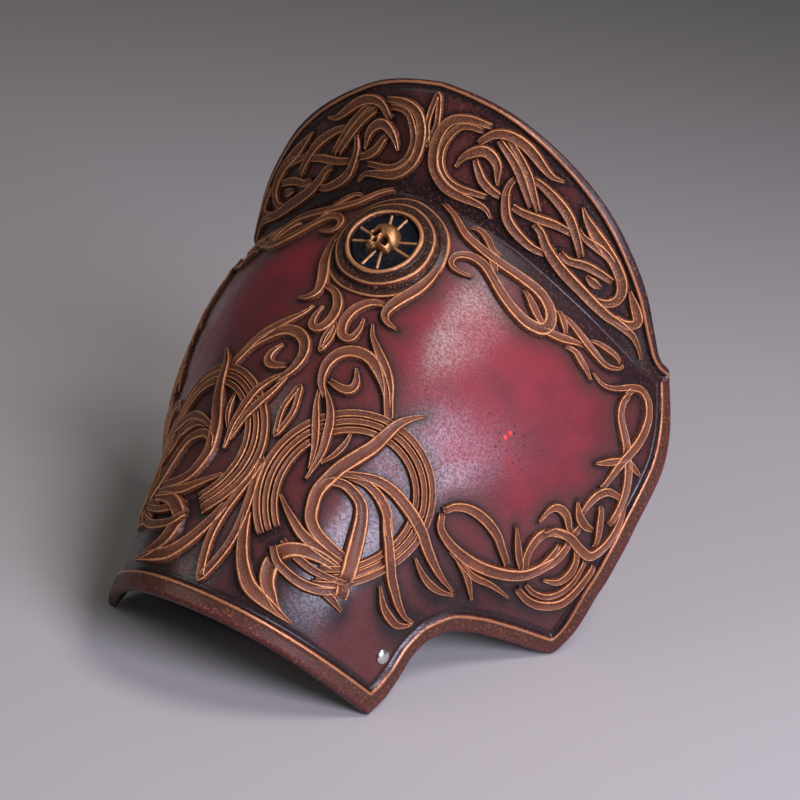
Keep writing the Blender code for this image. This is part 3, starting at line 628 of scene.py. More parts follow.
class SharedEffects:
    """The node groups that more than one finish uses, built once."""

    def __init__(self) -> None:
        """Builds the groups."""
        self.grain = self.build_grain()
        self.wear = self.build_wear()
        self.mottle = self.build_mottle()

    @staticmethod
    def build_grain() -> Tree:
        """Leather grain: small cells with creased borders and fine pores, as a height.

        Returns:
            The group, with Scale in cells per metre and Pores as the pores' share.
        """
        tree, nodes = new_group("leather_grain", {"Scale": 700.0, "Pores": 0.4}, ["Height"])
        start, end = nodes.add("NodeGroupInput"), nodes.add("NodeGroupOutput")
        scale = start.outputs["Scale"]
        cells = nodes.texture("ShaderNodeTexVoronoi", scale, feature="DISTANCE_TO_EDGE")
        fine = nodes.texture("ShaderNodeTexNoise", nodes.times(scale, 2.2), Detail=4.0, Roughness=0.6)
        borders = nodes.ramp(cells.outputs["Distance"], 0.0, 0.18)
        pores = nodes.times(fine.outputs["Fac"], start.outputs["Pores"])
        nodes.link(nodes.plus(borders, pores), end.inputs["Height"])
        return tree

    @staticmethod
    def build_wear() -> Tree:
        """Rubbed edges: the rub value broken up by noise, so that the bright line frays.

        Returns:
            The group, with Rub as the value, Spread as its reach and Break as the fraying.
        """
        tree, nodes = new_group("rubbed_edge", {"Rub": 0.0, "Spread": 0.5, "Break": 0.35}, ["Mask"])
        start, end = nodes.add("NodeGroupInput"), nodes.add("NodeGroupOutput")
        coarse = nodes.texture("ShaderNodeTexNoise", Scale=160.0, Detail=5.0, Roughness=0.65)
        fine = nodes.texture("ShaderNodeTexNoise", Scale=900.0, Detail=3.0, Roughness=0.6)
        rough = nodes.minus(nodes.plus(coarse.outputs["Fac"], fine.outputs["Fac"]), 1.0)
        rough = nodes.times(rough, start.outputs["Break"])
        value = nodes.plus(nodes.plus(start.outputs["Rub"], rough), start.outputs["Spread"])
        nodes.link(nodes.ramp(value, 0.75, 1.20), end.inputs["Mask"])
        return tree

    @staticmethod
    def build_mottle() -> Tree:
        """Uneven dye: slow clouds with finer blotches, about 0.5 on average.

        Returns:
            The group, with Scale in clouds per metre.
        """
        tree, nodes = new_group("dye_mottle", {"Scale": 28.0}, ["Slow", "Fine"])
        start, end = nodes.add("NodeGroupInput"), nodes.add("NodeGroupOutput")
        scale = start.outputs["Scale"]
        clouds = {"Detail": 3.0, "Roughness": 0.5, "Distortion": 0.4}
        slow = nodes.texture("ShaderNodeTexNoise", scale, **clouds)
        fine = nodes.texture("ShaderNodeTexNoise", nodes.times(scale, 26.0), Detail=6.0, Roughness=0.7)
        nodes.link(slow.outputs["Fac"], end.inputs["Slow"])
        nodes.link(fine.outputs["Fac"], end.inputs["Fine"])
        return tree


@dataclass(frozen=True)
class PaintedLeather:
    """Dyed leather with copper rubbed on its ridges, darkened in hollows by painted shade and real patina.

    A span is the two values of noise, or of shade with noise, between which an effect sets in.
    """

    name: str
    slot: str
    dye: Colour
    second_dye: Colour
    aged_dye: Colour
    band_dye: Colour
    umber: Colour
    shadow_and_patina: Colour
    rubbed: Colour
    roughness: float = 0.40
    rubbed_roughness: float = 0.36
    rubbed_metal: float = 0.55
    specular: float = 0.30
    coat: float = 0.25
    coat_roughness: float = 0.25
    grain: float = 650.0
    grain_depth: float = 0.10
    grain_reach: float = 1.2 * MM
    spread: float = 0.50
    fray: float = 0.60
    fleck: float = 0.0
    fleck_on_tone: float = 3.0
    fleck_in_shade: float = 0.6
    uneven: float = 0.25
    blotches: float = 28.0
    blotch_depth: float = 0.8
    rough_depth: float = 0.22
    second_span: tuple[float, float] = (0.35, 0.68)
    thin_span: tuple[float, float] = (0.40, 0.62)
    umber_span: tuple[float, float] = (0.02, 0.60)
    shadow_and_patina_span: tuple[float, float] = (0.55, 1.05)
    fleck_span: tuple[float, float] = (0.50, 0.68)
    gloss_span: tuple[float, float] = (0.32, 0.66)
    gloss_least: float = 0.40
    gloss_clouds: float = 0.65
    gloss_fine_span: tuple[float, float] = (0.35, 0.65)
    gloss_fine_most: float = 1.25
    gloss_off_tone: float = 0.6

    def material(self, shared: SharedEffects, splashes: Optional[Tree] = None) -> Material:
        """Builds the finish: mottled dye by tone, then umber and the shadow-and-patina colour by the
        shade value, which is painted shade with some real patina, then the rubbed colour over them,
        with flecks of it where the fine noise is highest.

        Args:
            shared: The node groups.
            splashes: The group that says where the small splashes lie, on the finish that has them.

        Returns:
            The material.
        """
        made, nodes, shader = new_finish(self.name)
        shade, tone = nodes.attribute("shade"), nodes.attribute("tone")
        mottle = nodes.group(shared.mottle, Scale=self.blotches)
        slow, fine = mottle.outputs["Slow"], mottle.outputs["Fine"]
        wear = nodes.group(shared.wear, Spread=self.spread, Break=self.fray)
        nodes.link(nodes.attribute("rub"), wear.inputs["Rub"])
        worn = wear.outputs["Mask"]
        dye = nodes.mix(nodes.ramp(slow, *self.second_span), self.dye, self.second_dye)
        dye = nodes.mix(nodes.ramp(tone, 0.0, 0.5), dye, self.aged_dye)
        dye = nodes.mix(nodes.ramp(tone, 0.5, 1.0), dye, self.band_dye)
        dye = nodes.mix(nodes.times(nodes.ramp(fine, *self.thin_span), self.uneven), dye, self.umber)
        # The shade value is painted shade at feet, in grooves and under crossings, with some real patina;
        # noise blotches it.
        shade_and_grime = nodes.plus(shade, nodes.times(nodes.minus(fine, 0.5), self.blotch_depth))
        colour = nodes.mix(nodes.ramp(shade_and_grime, *self.umber_span), dye, self.umber)
        colour = nodes.mix(nodes.ramp(shade_and_grime, *self.shadow_and_patina_span), colour, self.shadow_and_patina)
        dust = nodes.times(nodes.ramp(fine, *self.fleck_span), self.fleck)
        more = nodes.plus(nodes.times(tone, self.fleck_on_tone), 1.0)
        more = nodes.plus(more, nodes.times(shade, self.fleck_in_shade))
        colour = nodes.mix(nodes.times(dust, more), colour, self.rubbed)
        colour = nodes.mix(worn, colour, self.rubbed)
        if splashes is not None:
            splash = nodes.group(splashes)
            colour = nodes.mix(splash.outputs["Dark"], colour, self.shadow_and_patina)
            colour = nodes.mix(splash.outputs["Bright"], colour, Splashes.colour)
        nodes.link(colour, shader.inputs["Base Color"])
        rough = nodes.plus(nodes.times(worn, self.rubbed_roughness - self.roughness), self.roughness)
        rough = nodes.plus(rough, nodes.times(nodes.minus(fine, 0.5), self.rough_depth))
        nodes.link(rough, shader.inputs["Roughness"])
        nodes.link(nodes.times(worn, self.rubbed_metal), shader.inputs["Metallic"])
        nodes.link(self.gloss(nodes, slow, fine, tone), shader.inputs["Coat Weight"])
        shader.inputs["Specular IOR Level"].default_value = self.specular
        shader.inputs["Coat Roughness"].default_value = self.coat_roughness
        grain = nodes.group(shared.grain, Scale=self.grain)
        nodes.emboss(shader, grain, self.grain_depth, self.grain_reach)
        return made

    def gloss(self, nodes: Nodes, slow: Socket, fine: Socket, tone: Socket) -> Socket:
        """The coat's weight: clouds of gloss, duller where the fine noise is high, and on toned parts.

        Args:
            nodes: The helper on the material.
            slow: The clouds.
            fine: The fine noise.
            tone: The tone.

        Returns:
            The weight's socket.
        """
        clouds = nodes.times(nodes.ramp(slow, *self.gloss_span), self.gloss_clouds * self.coat)
        clouds = nodes.plus(clouds, self.gloss_least * self.coat)
        shine = nodes.minus(self.gloss_fine_most, nodes.ramp(fine, *self.gloss_fine_span))
        matted = nodes.minus(1.0, nodes.times(tone, self.gloss_off_tone))
        return nodes.times(clouds, nodes.times(shine, matted), clamp=True)


@dataclass(frozen=True)
class WornMetal:
    """Bare or bronzed metal, darker in its hollows with painted shade and dark patina, and a slightly uneven
    gloss.
    """

    name: str
    slot: str
    bright: Colour
    dull: Colour
    roughness: float = 0.34
    metal: float = 0.9
    pits: float = 0.12
    pit_reach: float = 0.6 * MM
    blotches: float = 120.0
    blotch_depth: float = 0.7
    dull_span: tuple[float, float] = (0.1, 0.9)
    dull_metal: float = 0.3
    rough_depth: float = 0.25
    rough_offset: float = 0.12
    grain: float = 900.0

    def material(self, shared: SharedEffects) -> Material:
        """Builds the finish: dull metal in the shade, bright on the ridges.

        Args:
            shared: The node groups.

        Returns:
            The material.
        """
        made, nodes, shader = new_finish(self.name)
        fine = nodes.group(shared.mottle, Scale=self.blotches).outputs["Fine"]
        # The shade value paints shade in hollows and at feet, with some dark patina.
        shade_and_grime = nodes.plus(nodes.attribute("shade"), nodes.times(nodes.minus(fine, 0.5), self.blotch_depth))
        dark = nodes.ramp(shade_and_grime, *self.dull_span)
        nodes.link(nodes.mix(dark, self.bright, self.dull), shader.inputs["Base Color"])
        rough = nodes.plus(nodes.times(fine, self.rough_depth), self.roughness - self.rough_offset)
        nodes.link(rough, shader.inputs["Roughness"])
        nodes.link(nodes.minus(self.metal, nodes.times(dark, self.dull_metal)), shader.inputs["Metallic"])
        grain = nodes.group(shared.grain, Scale=self.grain, Pores=1.0)
        nodes.emboss(shader, grain, self.pits, self.pit_reach)
        return made


@dataclass(frozen=True)
class PlainHide:
    """Undyed or dark leather with a soft nap: the inside of the shell, and the strap."""

    name: str
    slot: str
    colour: Colour
    worn: Colour
    roughness: float = 0.75
    rough_depth: float = 0.2
    blotches: float = 60.0
    worn_span: tuple[float, float] = (0.35, 0.70)
    grain: float = 900.0
    grain_depth: float = 0.25
    grain_reach: float = 1.0 * MM
    pores: float = 1.2

    def material(self, shared: SharedEffects) -> Material:
        """Builds the finish: two close colours in blotches under a fine grain.

        Args:
            shared: The node groups.

        Returns:
            The material.
        """
        made, nodes, shader = new_finish(self.name)
        mottle = nodes.group(shared.mottle, Scale=self.blotches)
        blotch = nodes.ramp(mottle.outputs["Fine"], *self.worn_span)
        nodes.link(nodes.mix(blotch, self.colour, self.worn), shader.inputs["Base Color"])
        uneven = nodes.times(mottle.outputs["Slow"], self.rough_depth)
        nodes.link(nodes.plus(uneven, self.roughness - 0.5 * self.rough_depth), shader.inputs["Roughness"])
        grain = nodes.group(shared.grain, Scale=self.grain, Pores=self.pores)
        nodes.emboss(shader, grain, self.grain_depth, self.grain_reach)
        return made


FIELD = PaintedLeather(
    name="red_field",
    slot="red_leather",
    dye=(0.232, 0.021, 0.032),
    second_dye=(0.140, 0.012, 0.020),
    aged_dye=(0.100, 0.015, 0.022),
    band_dye=(0.062, 0.025, 0.014),
    umber=(0.082, 0.020, 0.019),
    shadow_and_patina=(0.010, 0.005, 0.007),
    rubbed=(0.480, 0.200, 0.090),
    roughness=0.50,
    specular=0.14,
    coat=1.00,
    coat_roughness=0.23,
    grain_depth=0.16,
    fleck=0.09,
)
STRAPWORK = PaintedLeather(
    name="strapwork",
    slot="copper_edged_leather",
    dye=(0.200, 0.066, 0.030),
    second_dye=(0.082, 0.025, 0.012),
    aged_dye=(0.108, 0.041, 0.017),
    band_dye=(0.108, 0.041, 0.017),
    umber=(0.092, 0.024, 0.012),
    shadow_and_patina=(0.007, 0.004, 0.005),
    rubbed=(0.720, 0.330, 0.140),
    roughness=0.42,
    specular=0.22,
    coat=0.22,
    coat_roughness=0.20,
    grain=1100.0,
    grain_depth=0.30,
    fleck=0.28,
    uneven=0.80,
    blotches=46.0,
    spread=0.40,
    fray=0.90,
)
BOSS = PaintedLeather(
    name="boss_leather",
    slot="dark_leather",
    dye=(0.058, 0.022, 0.014),
    second_dye=(0.038, 0.014, 0.009),
    aged_dye=(0.120, 0.020, 0.018),
    band_dye=(0.120, 0.020, 0.018),
    umber=(0.026, 0.010, 0.007),
    shadow_and_patina=(0.007, 0.006, 0.008),
    rubbed=(0.560, 0.260, 0.105),
    roughness=0.40,
    specular=0.16,
    coat=0.36,
    coat_roughness=0.16,
    grain=1100.0,
    grain_depth=0.30,
    fleck=0.24,
)
BADGE = PaintedLeather(
    name="badge_enamel",
    slot="bronze",
    dye=(0.006, 0.009, 0.016),
    second_dye=(0.004, 0.006, 0.010),
    aged_dye=(0.006, 0.009, 0.016),
    band_dye=(0.006, 0.009, 0.016),
    umber=(0.005, 0.006, 0.010),
    shadow_and_patina=(0.004, 0.004, 0.006),
    rubbed=(0.500, 0.250, 0.100),
    roughness=0.24,
    coat=0.60,
    coat_roughness=0.12,
    grain=1300.0,
    grain_depth=0.15,
    fray=0.30,
)
SKULL_BRONZE = WornMetal(
    name="skull_bronze",
    slot="bronze",
    bright=(0.56, 0.29, 0.115),
    dull=(0.030, 0.014, 0.009),
    pits=0.25,
)
NICKEL = WornMetal(
    name="nickel",
    slot="nickel",
    bright=(0.72, 0.72, 0.70),
    dull=(0.30, 0.29, 0.27),
    roughness=0.26,
    metal=1.0,
    pits=0.04,
)
INSIDE = PlainHide("inside_hide", "red_leather", (0.050, 0.024, 0.016), (0.080, 0.040, 0.026))
STRAP = PlainHide("strap_hide", "black_strap", (0.012, 0.012, 0.020), (0.022, 0.022, 0.032), roughness=0.55)


@dataclass
class Splashes:
    """The small splashes on the right field: two bright ones and the dark specks round them.

    Each row is: across (share of the section), millimetres along, and radius in millimetres.
    """

    form: MouldedForm
    bright: tuple[tuple[float, float, float], ...] = ((0.545, 147.0, 1.0), (0.55, 150.0, 1.1))
    dark: tuple[tuple[float, float, float], ...] = (
        (0.475, 152.0, 0.5), (0.535, 140.0, 0.6), (0.525, 147.0, 0.6), (0.56, 151.0, 0.7),
        (0.55, 154.0, 0.5), (0.585, 153.0, 0.6), (0.6, 149.0, 0.5), (0.61, 142.0, 0.5),
        (0.63, 139.0, 0.4), (0.6, 139.0, 0.4), (0.565, 142.0, 0.5), (0.65, 153.0, 0.4),
        (0.58, 148.0, 0.4), (0.535, 143.0, 0.45),
    )
    fade: tuple[float, float] = (-0.15 * MM, 0.25 * MM)
    colour: Colour = (0.75, 0.030, 0.030)

    def nearness(self, nodes: Nodes, rows: Sequence[tuple[float, float, float]]) -> Socket:
        """1 inside any of the rows' spheres, by the least of distance minus radius.

        Args:
            nodes: The helper on the group.
            rows: Places with their radii.

        Returns:
            The mask's socket.
        """
        place = nodes.add("ShaderNodeTexCoord").outputs["Object"]
        least: Value = 1.0
        for across, along, radius in rows:
            centre = self.form.stand(self.form.barrel(np.array(across), np.array(along * MM)))
            gap = nodes.add("ShaderNodeVectorMath", operation="DISTANCE")
            gap.inputs[1].default_value = centre.tolist()
            nodes.link(place, gap.inputs[0])
            least = nodes.math("MINIMUM", least, nodes.minus(gap.outputs["Value"], radius * MM))
        return nodes.minus(1.0, nodes.ramp(least, *self.fade))

    def group(self) -> Tree:
        """Builds the node group.

        Returns:
            The group, with the masks Bright and Dark.
        """
        tree, nodes = new_group("splashes", {}, ["Bright", "Dark"])
        end = nodes.add("NodeGroupOutput")
        nodes.link(self.nearness(nodes, self.bright), end.inputs["Bright"])
        nodes.link(self.nearness(nodes, self.dark), end.inputs["Dark"])
        return tree


# Strapwork


@dataclass(frozen=True)
class Strand:
    """One strand of the right half's strapwork.

    Attributes:
        group: The piece that it belongs to.
        widths: Widths in millimetres at even shares of its length.
        places: Chosen places: across in hundredths, then millimetres along or hundredths of height.
        face: The face that carries it.
    """

    group: str
    widths: tuple[float, ...]
    places: tuple[tuple[float, float], ...]
    face: Face


RING, LOBE, CREASE, COLLAR, SCROLL, HOOK, QUILL = (
    "ring_knot",
    "lobe_knot",
    "crease_loop",
    "collar_knot",
    "scroll",
    "hook",
    "collar_scroll",
)

# group, widths, places
StrandRow = tuple[str, tuple[float, ...], tuple[tuple[float, float], ...]]
BARREL_ROWS: tuple[StrandRow, ...] = (
    (RING, (3.5, 5, 6, 1), (
        (3, 52), (5.5, 40), (8.5, 31), (12, 24.5), (16, 20), (22, 17.5), (30, 15.5), (36, 14.5),
    )),
    (RING, (1, 3.5, 1), ((4.5, 122), (6, 113), (8.5, 103), (10.5, 94), (12, 83))),
    (RING, (1, 4, 1), ((5, 124), (8.5, 117), (11, 109), (12.5, 98), (13, 90), (12.5, 78))),
    (RING, (2, 5, 5, 2), (
        (23.5, 125), (20, 134), (16, 141), (12, 145.5), (8, 145.5), (5, 142), (3.5, 136), (3.5, 130),
        (4.5, 124), (7, 118),
    )),
    (RING, (1, 4, 2.5), ((10.5, 138), (12, 133), (12.5, 129), (11.5, 126), (9, 125.5), (6, 127))),
    (RING, (1, 4.5, 4), ((8.5, 163), (10, 157), (13, 151), (17, 144), (20, 137), (22, 130), (24.5, 122))),
    (RING, (1.2, 4.5, 6, 6, 5.5, 5, 4), (
        (32.5, 132), (30, 128), (27.5, 122), (26, 114), (24.5, 106), (22, 98), (19.5, 90), (18, 82),
        (17.2, 75), (18, 68), (20, 61), (24, 56.5), (30, 54), (35, 53),
    )),
    (RING, (3, 5, 7, 6), (
        (17.5, 76), (18.5, 81), (22, 83.5), (26, 82.5), (30, 79), (32.5, 73), (34.5, 66), (37, 57),
        (39.5, 48), (41.5, 41), (43.5, 36),
    )),
    (RING, (2.5, 5, 5, 1), (
        (20, 87), (25, 90.5), (30, 93), (35, 93), (40, 91), (45, 88), (50, 84), (55, 79), (62, 74),
        (69, 72),
    )),
    (RING, (1, 3.5, 1), ((53, 73), (58, 69), (62, 67.5), (66, 68), (70, 71))),
    (RING, (2.5, 4.5, 1.2), ((23, 88), (28, 89), (33, 87), (37, 83), (40, 78), (43, 72), (46.5, 63))),
    (RING, (2.5, 4.5, 4.5, 1), (
        (33, 88), (37, 83), (40, 77), (44, 70), (48, 63.5), (52, 58), (56, 54), (60, 50.5), (65, 48),
        (69, 48.5),
    )),
    (RING, (1, 4, 1), ((51, 52), (56, 46), (60, 43.5), (65, 42.5), (68, 45), (69, 48))),
    (RING, (1, 4.5, 4), ((8.5, 66), (12, 61), (16, 56.5), (20, 53), (25, 51), (30, 50), (36, 49.5))),
    (RING, (4, 6, 6.5, 1), (
        (36, 47), (30, 47.5), (24, 46.5), (20, 44), (17.5, 40), (17.2, 35), (18, 30), (20, 25),
        (24, 20.5), (28, 17), (33, 15),
    )),
    (RING, (3, 4, 4, 1), (
        (14.5, 42), (18, 36.5), (22, 34), (29, 32.5), (36, 34.5), (41, 39.5), (44, 47.5),
    )),
    (RING, (2.5, 3.5, 3, 2), ((16, 46.5), (22, 42.5), (29.5, 40.5), (36.5, 41.5), (41.5, 43.5))),
    (RING, (3.5, 3, 1), ((37, 34.5), (41.5, 33.5), (47, 31.5))),
    (RING, (1, 2.5, 1), ((17.5, 108), (17.4, 101), (16.2, 94), (14, 88))),
    (SCROLL, (2.5, 4.5, 4, 1), (
        (9, 175.5), (5, 173), (2.4, 167), (1.6, 160), (2.2, 154), (3.5, 151), (5.5, 151.5), (6.2, 157),
        (5.8, 164),
    )),
    (HOOK, (2, 5, 5, 1), (
        (17.5, 210), (16.5, 200), (14.5, 190), (12, 182), (10.5, 176), (10, 171), (11, 167.5),
        (12.5, 166), (14.8, 165.5),
    )),
    (LOBE, (3, 4.5, 3), ((51, 99), (53, 104), (57, 107.5), (62, 108), (67, 106), (71, 102), (74.5, 98.5))),
    (LOBE, (3, 5, 5, 3), (
        (51, 98), (53, 92), (57, 89), (62, 88), (68, 89), (73, 92), (77, 96), (80, 101), (82, 108),
        (83.5, 115), (83.8, 122), (83.5, 130), (84, 135),
    )),
    (LOBE, (1, 4.5, 2), ((80, 144), (82, 139), (85, 137), (87.5, 138))),
    (LOBE, (1, 3.5, 2.5), ((70, 115), (73, 109), (76, 104), (78.5, 101))),
    (LOBE, (3, 4.5, 3), (
        (79, 102), (77, 107), (76.2, 113), (76.5, 119), (78.5, 124), (81, 126.5), (84, 127),
    )),
    (LOBE, (2, 3.5, 2), ((81, 106), (82, 113), (82, 122))),
    (LOBE, (2.5, 4, 1), ((86.5, 125), (88, 120), (88.5, 114), (87.5, 108), (84.5, 104))),
    (LOBE, (3, 4.5, 3), ((92.5, 125), (92.5, 110), (91.5, 101), (88.5, 95), (85, 92.5), (81, 93))),
    (LOBE, (2, 3, 2), ((90, 124), (90.5, 112), (89.5, 104), (87.5, 99), (84.5, 96.8), (82, 97.2))),
    (LOBE, (1.5, 3, 1), ((60, 86), (66, 84.5), (70, 84), (75, 86.5), (81, 87.5))),
    (LOBE, (1.5, 3.2, 1), ((62, 85.5), (67, 83), (71, 79), (74.5, 75))),
    (LOBE, (1, 4, 2.5), ((74.2, 124), (74.5, 131), (76, 135), (79, 135), (81.5, 131), (83.5, 129))),
    (LOBE, (2.5, 4.5, 4, 2.5), (
        (77, 120), (79, 125.5), (83, 127.5), (87, 126.5), (90, 127), (91.6, 132), (92.6, 140),
        (92.8, 148), (92.4, 155), (91.8, 157),
    )),
    (LOBE, (2.5, 4, 2.5), ((82.5, 139), (82.8, 146), (84, 153), (86, 157.5), (88.5, 159), (90.5, 159.5))),
    (LOBE, (2.5, 3.5, 2), ((86.2, 150), (88, 143), (89.5, 136), (90, 132))),
    (LOBE, (3, 4.5, 4.5, 3), (
        (90.5, 145), (91, 152), (91, 160), (90, 168), (88.5, 174), (87, 178), (85, 183), (83, 187),
        (80.5, 192), (79.5, 197), (79.7, 202), (81, 206),
    )),
    (LOBE, (2.5, 4.5, 4.5, 3, 1), (
        (84.2, 157), (84.8, 163), (85.5, 170), (86.5, 178), (88, 186), (89, 195), (89.3, 203),
        (88.5, 209), (87, 212), (85, 213), (83, 212), (80, 209), (77, 205), (74, 202), (71, 201),
        (68, 203),
    )),
    (LOBE, (2, 3, 1.5), ((80, 203), (81, 208), (83, 211))),
    (LOBE, (1, 3.5, 1.5), ((79.5, 165), (82, 169), (85, 174), (86.5, 178))),
    (LOBE, (1.5, 3, 1), ((87, 178), (90, 176), (93, 175.5))),
    (CREASE, (2, 4, 5, 6, 5, 4, 1), (
        (10, 243), (15, 239), (18, 235), (21, 231), (25, 228.5), (30, 226.5), (35, 225.5), (40, 225),
        (45, 224), (48, 222), (50.5, 218), (51.5, 213), (51, 208), (49, 205), (45, 204), (41, 206),
        (38, 208.5), (35, 212), (32, 216.5), (29, 220), (26, 221), (23, 220), (20.5, 217), (19.8, 213),
        (21, 210.5), (24, 210), (27, 211),
    )),
    (CREASE, (1.5, 4, 2.5), ((42, 220), (45, 215), (48, 210), (50, 208))),
    (CREASE, (2.5, 3.5, 2), ((30, 226), (33, 220))),
    (CREASE, (3, 4, 1.5), ((50, 205.5), (55, 207.5), (59, 210), (63, 212.5))),
    (CREASE, (2, 3.5, 2), ((53, 221), (55, 217), (57, 212))),
    (CREASE, (2, 4, 3, 1), ((55, 220), (60, 217), (65, 213.5), (70, 211), (73, 212), (76, 215), (77, 218))),
    (CREASE, (1.5, 3, 1.5), ((65, 218), (68, 219), (72, 219.5), (75, 219), (77, 217.5))),
    (CREASE, (1.5, 3.5, 1), ((58, 206), (61, 206), (64, 203), (68, 199))),
    (CREASE, (1.5, 3.5, 2), ((22, 237), (25, 237), (28, 234), (30, 230.5), (33, 230))),
)

COLLAR_ROWS: tuple[StrandRow, ...] = (
    (QUILL, (2.5, 4.5, 5, 4.5, 1), (
        (17.5, 82), (12, 80), (8, 76), (5.2, 70), (3.4, 60), (2.8, 50), (3.0, 40), (4.2, 30), (7, 22),
        (11, 16.5), (16, 15.5), (21, 16.5), (24, 16), (26.5, 11),
    )),
    (COLLAR, (2.5, 3.5, 2.5), (
        (16, 75.5), (12, 74), (9, 70), (7, 62), (5.5, 52), (5.2, 43), (6, 34), (8, 27), (11, 22.5),
        (15, 21.5), (19, 23.5), (23, 26),
    )),
    (COLLAR, (3, 4.5, 4.5, 1), (
        (15.5, 64), (17, 71), (19, 78), (22, 83), (26, 85), (30, 83), (33, 80), (36, 79), (39, 84),
    )),
    (COLLAR, (1, 4.5, 4.5, 1), (
        (11, 37), (12.5, 47), (15, 55), (17.5, 60), (20, 60), (22.5, 55), (23.5, 47), (24.5, 40),
    )),
    (COLLAR, (2.5, 4, 3), ((16, 50), (18, 43), (20, 37), (23, 33.5), (26.5, 33))),
    (COLLAR, (3, 4, 3), ((20.5, 75), (25, 68), (28, 62), (31, 54), (35, 43))),
    (COLLAR, (2.5, 3.5, 2.5), ((23, 80), (27, 73), (31, 64), (34, 54), (37, 44))),
    (COLLAR, (2.5, 4.5, 3), (
        (28, 55), (27.3, 47), (27.5, 38), (29, 27), (31, 19), (35, 14), (40, 13), (44, 17),
    )),
    (COLLAR, (3, 4, 3), ((30.5, 32), (34, 34), (38, 39), (42, 46), (47, 53))),
    (COLLAR, (3, 4.5, 3), ((32, 64.5), (35, 66), (40, 65), (44, 62), (48, 54), (52, 43))),
    (COLLAR, (3, 5, 5, 4, 1), (
        (37.5, 32), (40, 31), (43, 24), (47, 19), (52, 16.5), (57, 16.5), (62, 17), (67, 20), (70, 25),
        (74, 31), (77, 35), (80, 32), (82, 25), (83, 18),
    )),
    (COLLAR, (3, 4, 3), ((47, 29), (50, 30), (54, 40), (58, 48), (62.5, 56))),
    (COLLAR, (1, 5.5, 5, 5, 3), (
        (45.5, 80), (48, 75), (52, 72), (56, 72), (60, 72), (64, 68), (66, 60), (66.5, 50), (66, 40),
        (64.5, 30), (62, 22),
    )),
    (COLLAR, (1, 4, 2.5), ((47.5, 62), (50, 60), (53, 64), (57, 69), (60, 70))),
    (COLLAR, (1.5, 4, 1.5), ((56, 33), (59, 35), (61, 38))),
    (COLLAR, (1.5, 4.5, 4.5, 3), (
        (68, 72), (70, 69), (73, 66), (75.5, 60), (75, 50), (74, 42), (72, 33), (69, 27),
    )),
)
STRANDS = tuple(Strand(*row, Face.BARREL) for row in BARREL_ROWS)
STRANDS += tuple(Strand(*row, Face.COLLAR) for row in COLLAR_ROWS)

# group, face, half widths of the loop from end to end, its two ends, strand's width
LOOPS: tuple[tuple[str, Face, tuple[float, ...], float, float, float], ...] = (
    ("drop_loop", Face.BARREL, (0.0, 2.0, 3.0, 2.8, 1.9, 0.8, 0.0), 14.0, 78.0, 3.6),
    ("crown_leaf", Face.BARREL, (0.0, 0.9, 1.4, 0.9, 0.0), 92.0, 119.0, 2.4),
    ("crown_leaf", Face.BARREL, (0.0, 0.8, 0.0), 140.0, 156.0, 2.2),
    ("collar_leaf", Face.COLLAR, (0.0, 0.8, 1.6, 1.4, 0.9, 0.0), 46.0, 90.0, 2.6),
)
CENTRAL = {name for name, *_ in LOOPS}
FLAT_SCALE = {Face.BARREL: (195.0, 1000.0), Face.COLLAR: (170.0, 58.0)}
CHOSEN_SCALE = {Face.BARREL: (0.01, MM), Face.COLLAR: (0.01, 0.01)}


@dataclass
class Path:
    """A strand laid out: stations along it with their widths, lifts at crossings, and shade painted under
    crossings and at blunt ends.
    """

    group: str
    face: Face
    across: Array
    second: Array
    run: Array
    width: Array
    closed: bool = False
    lowest: bool = False
    lift: Array = field(default_factory=lambda: np.zeros(0))
    painted_shade: Array = field(default_factory=lambda: np.zeros(0))
    meetings: list[tuple[float, int]] = field(default_factory=list)

    def flat(self) -> Array:
        """The stations on a flat map, about to scale in millimetres."""
        return np.stack([self.across, self.second], -1) * FLAT_SCALE[self.face]


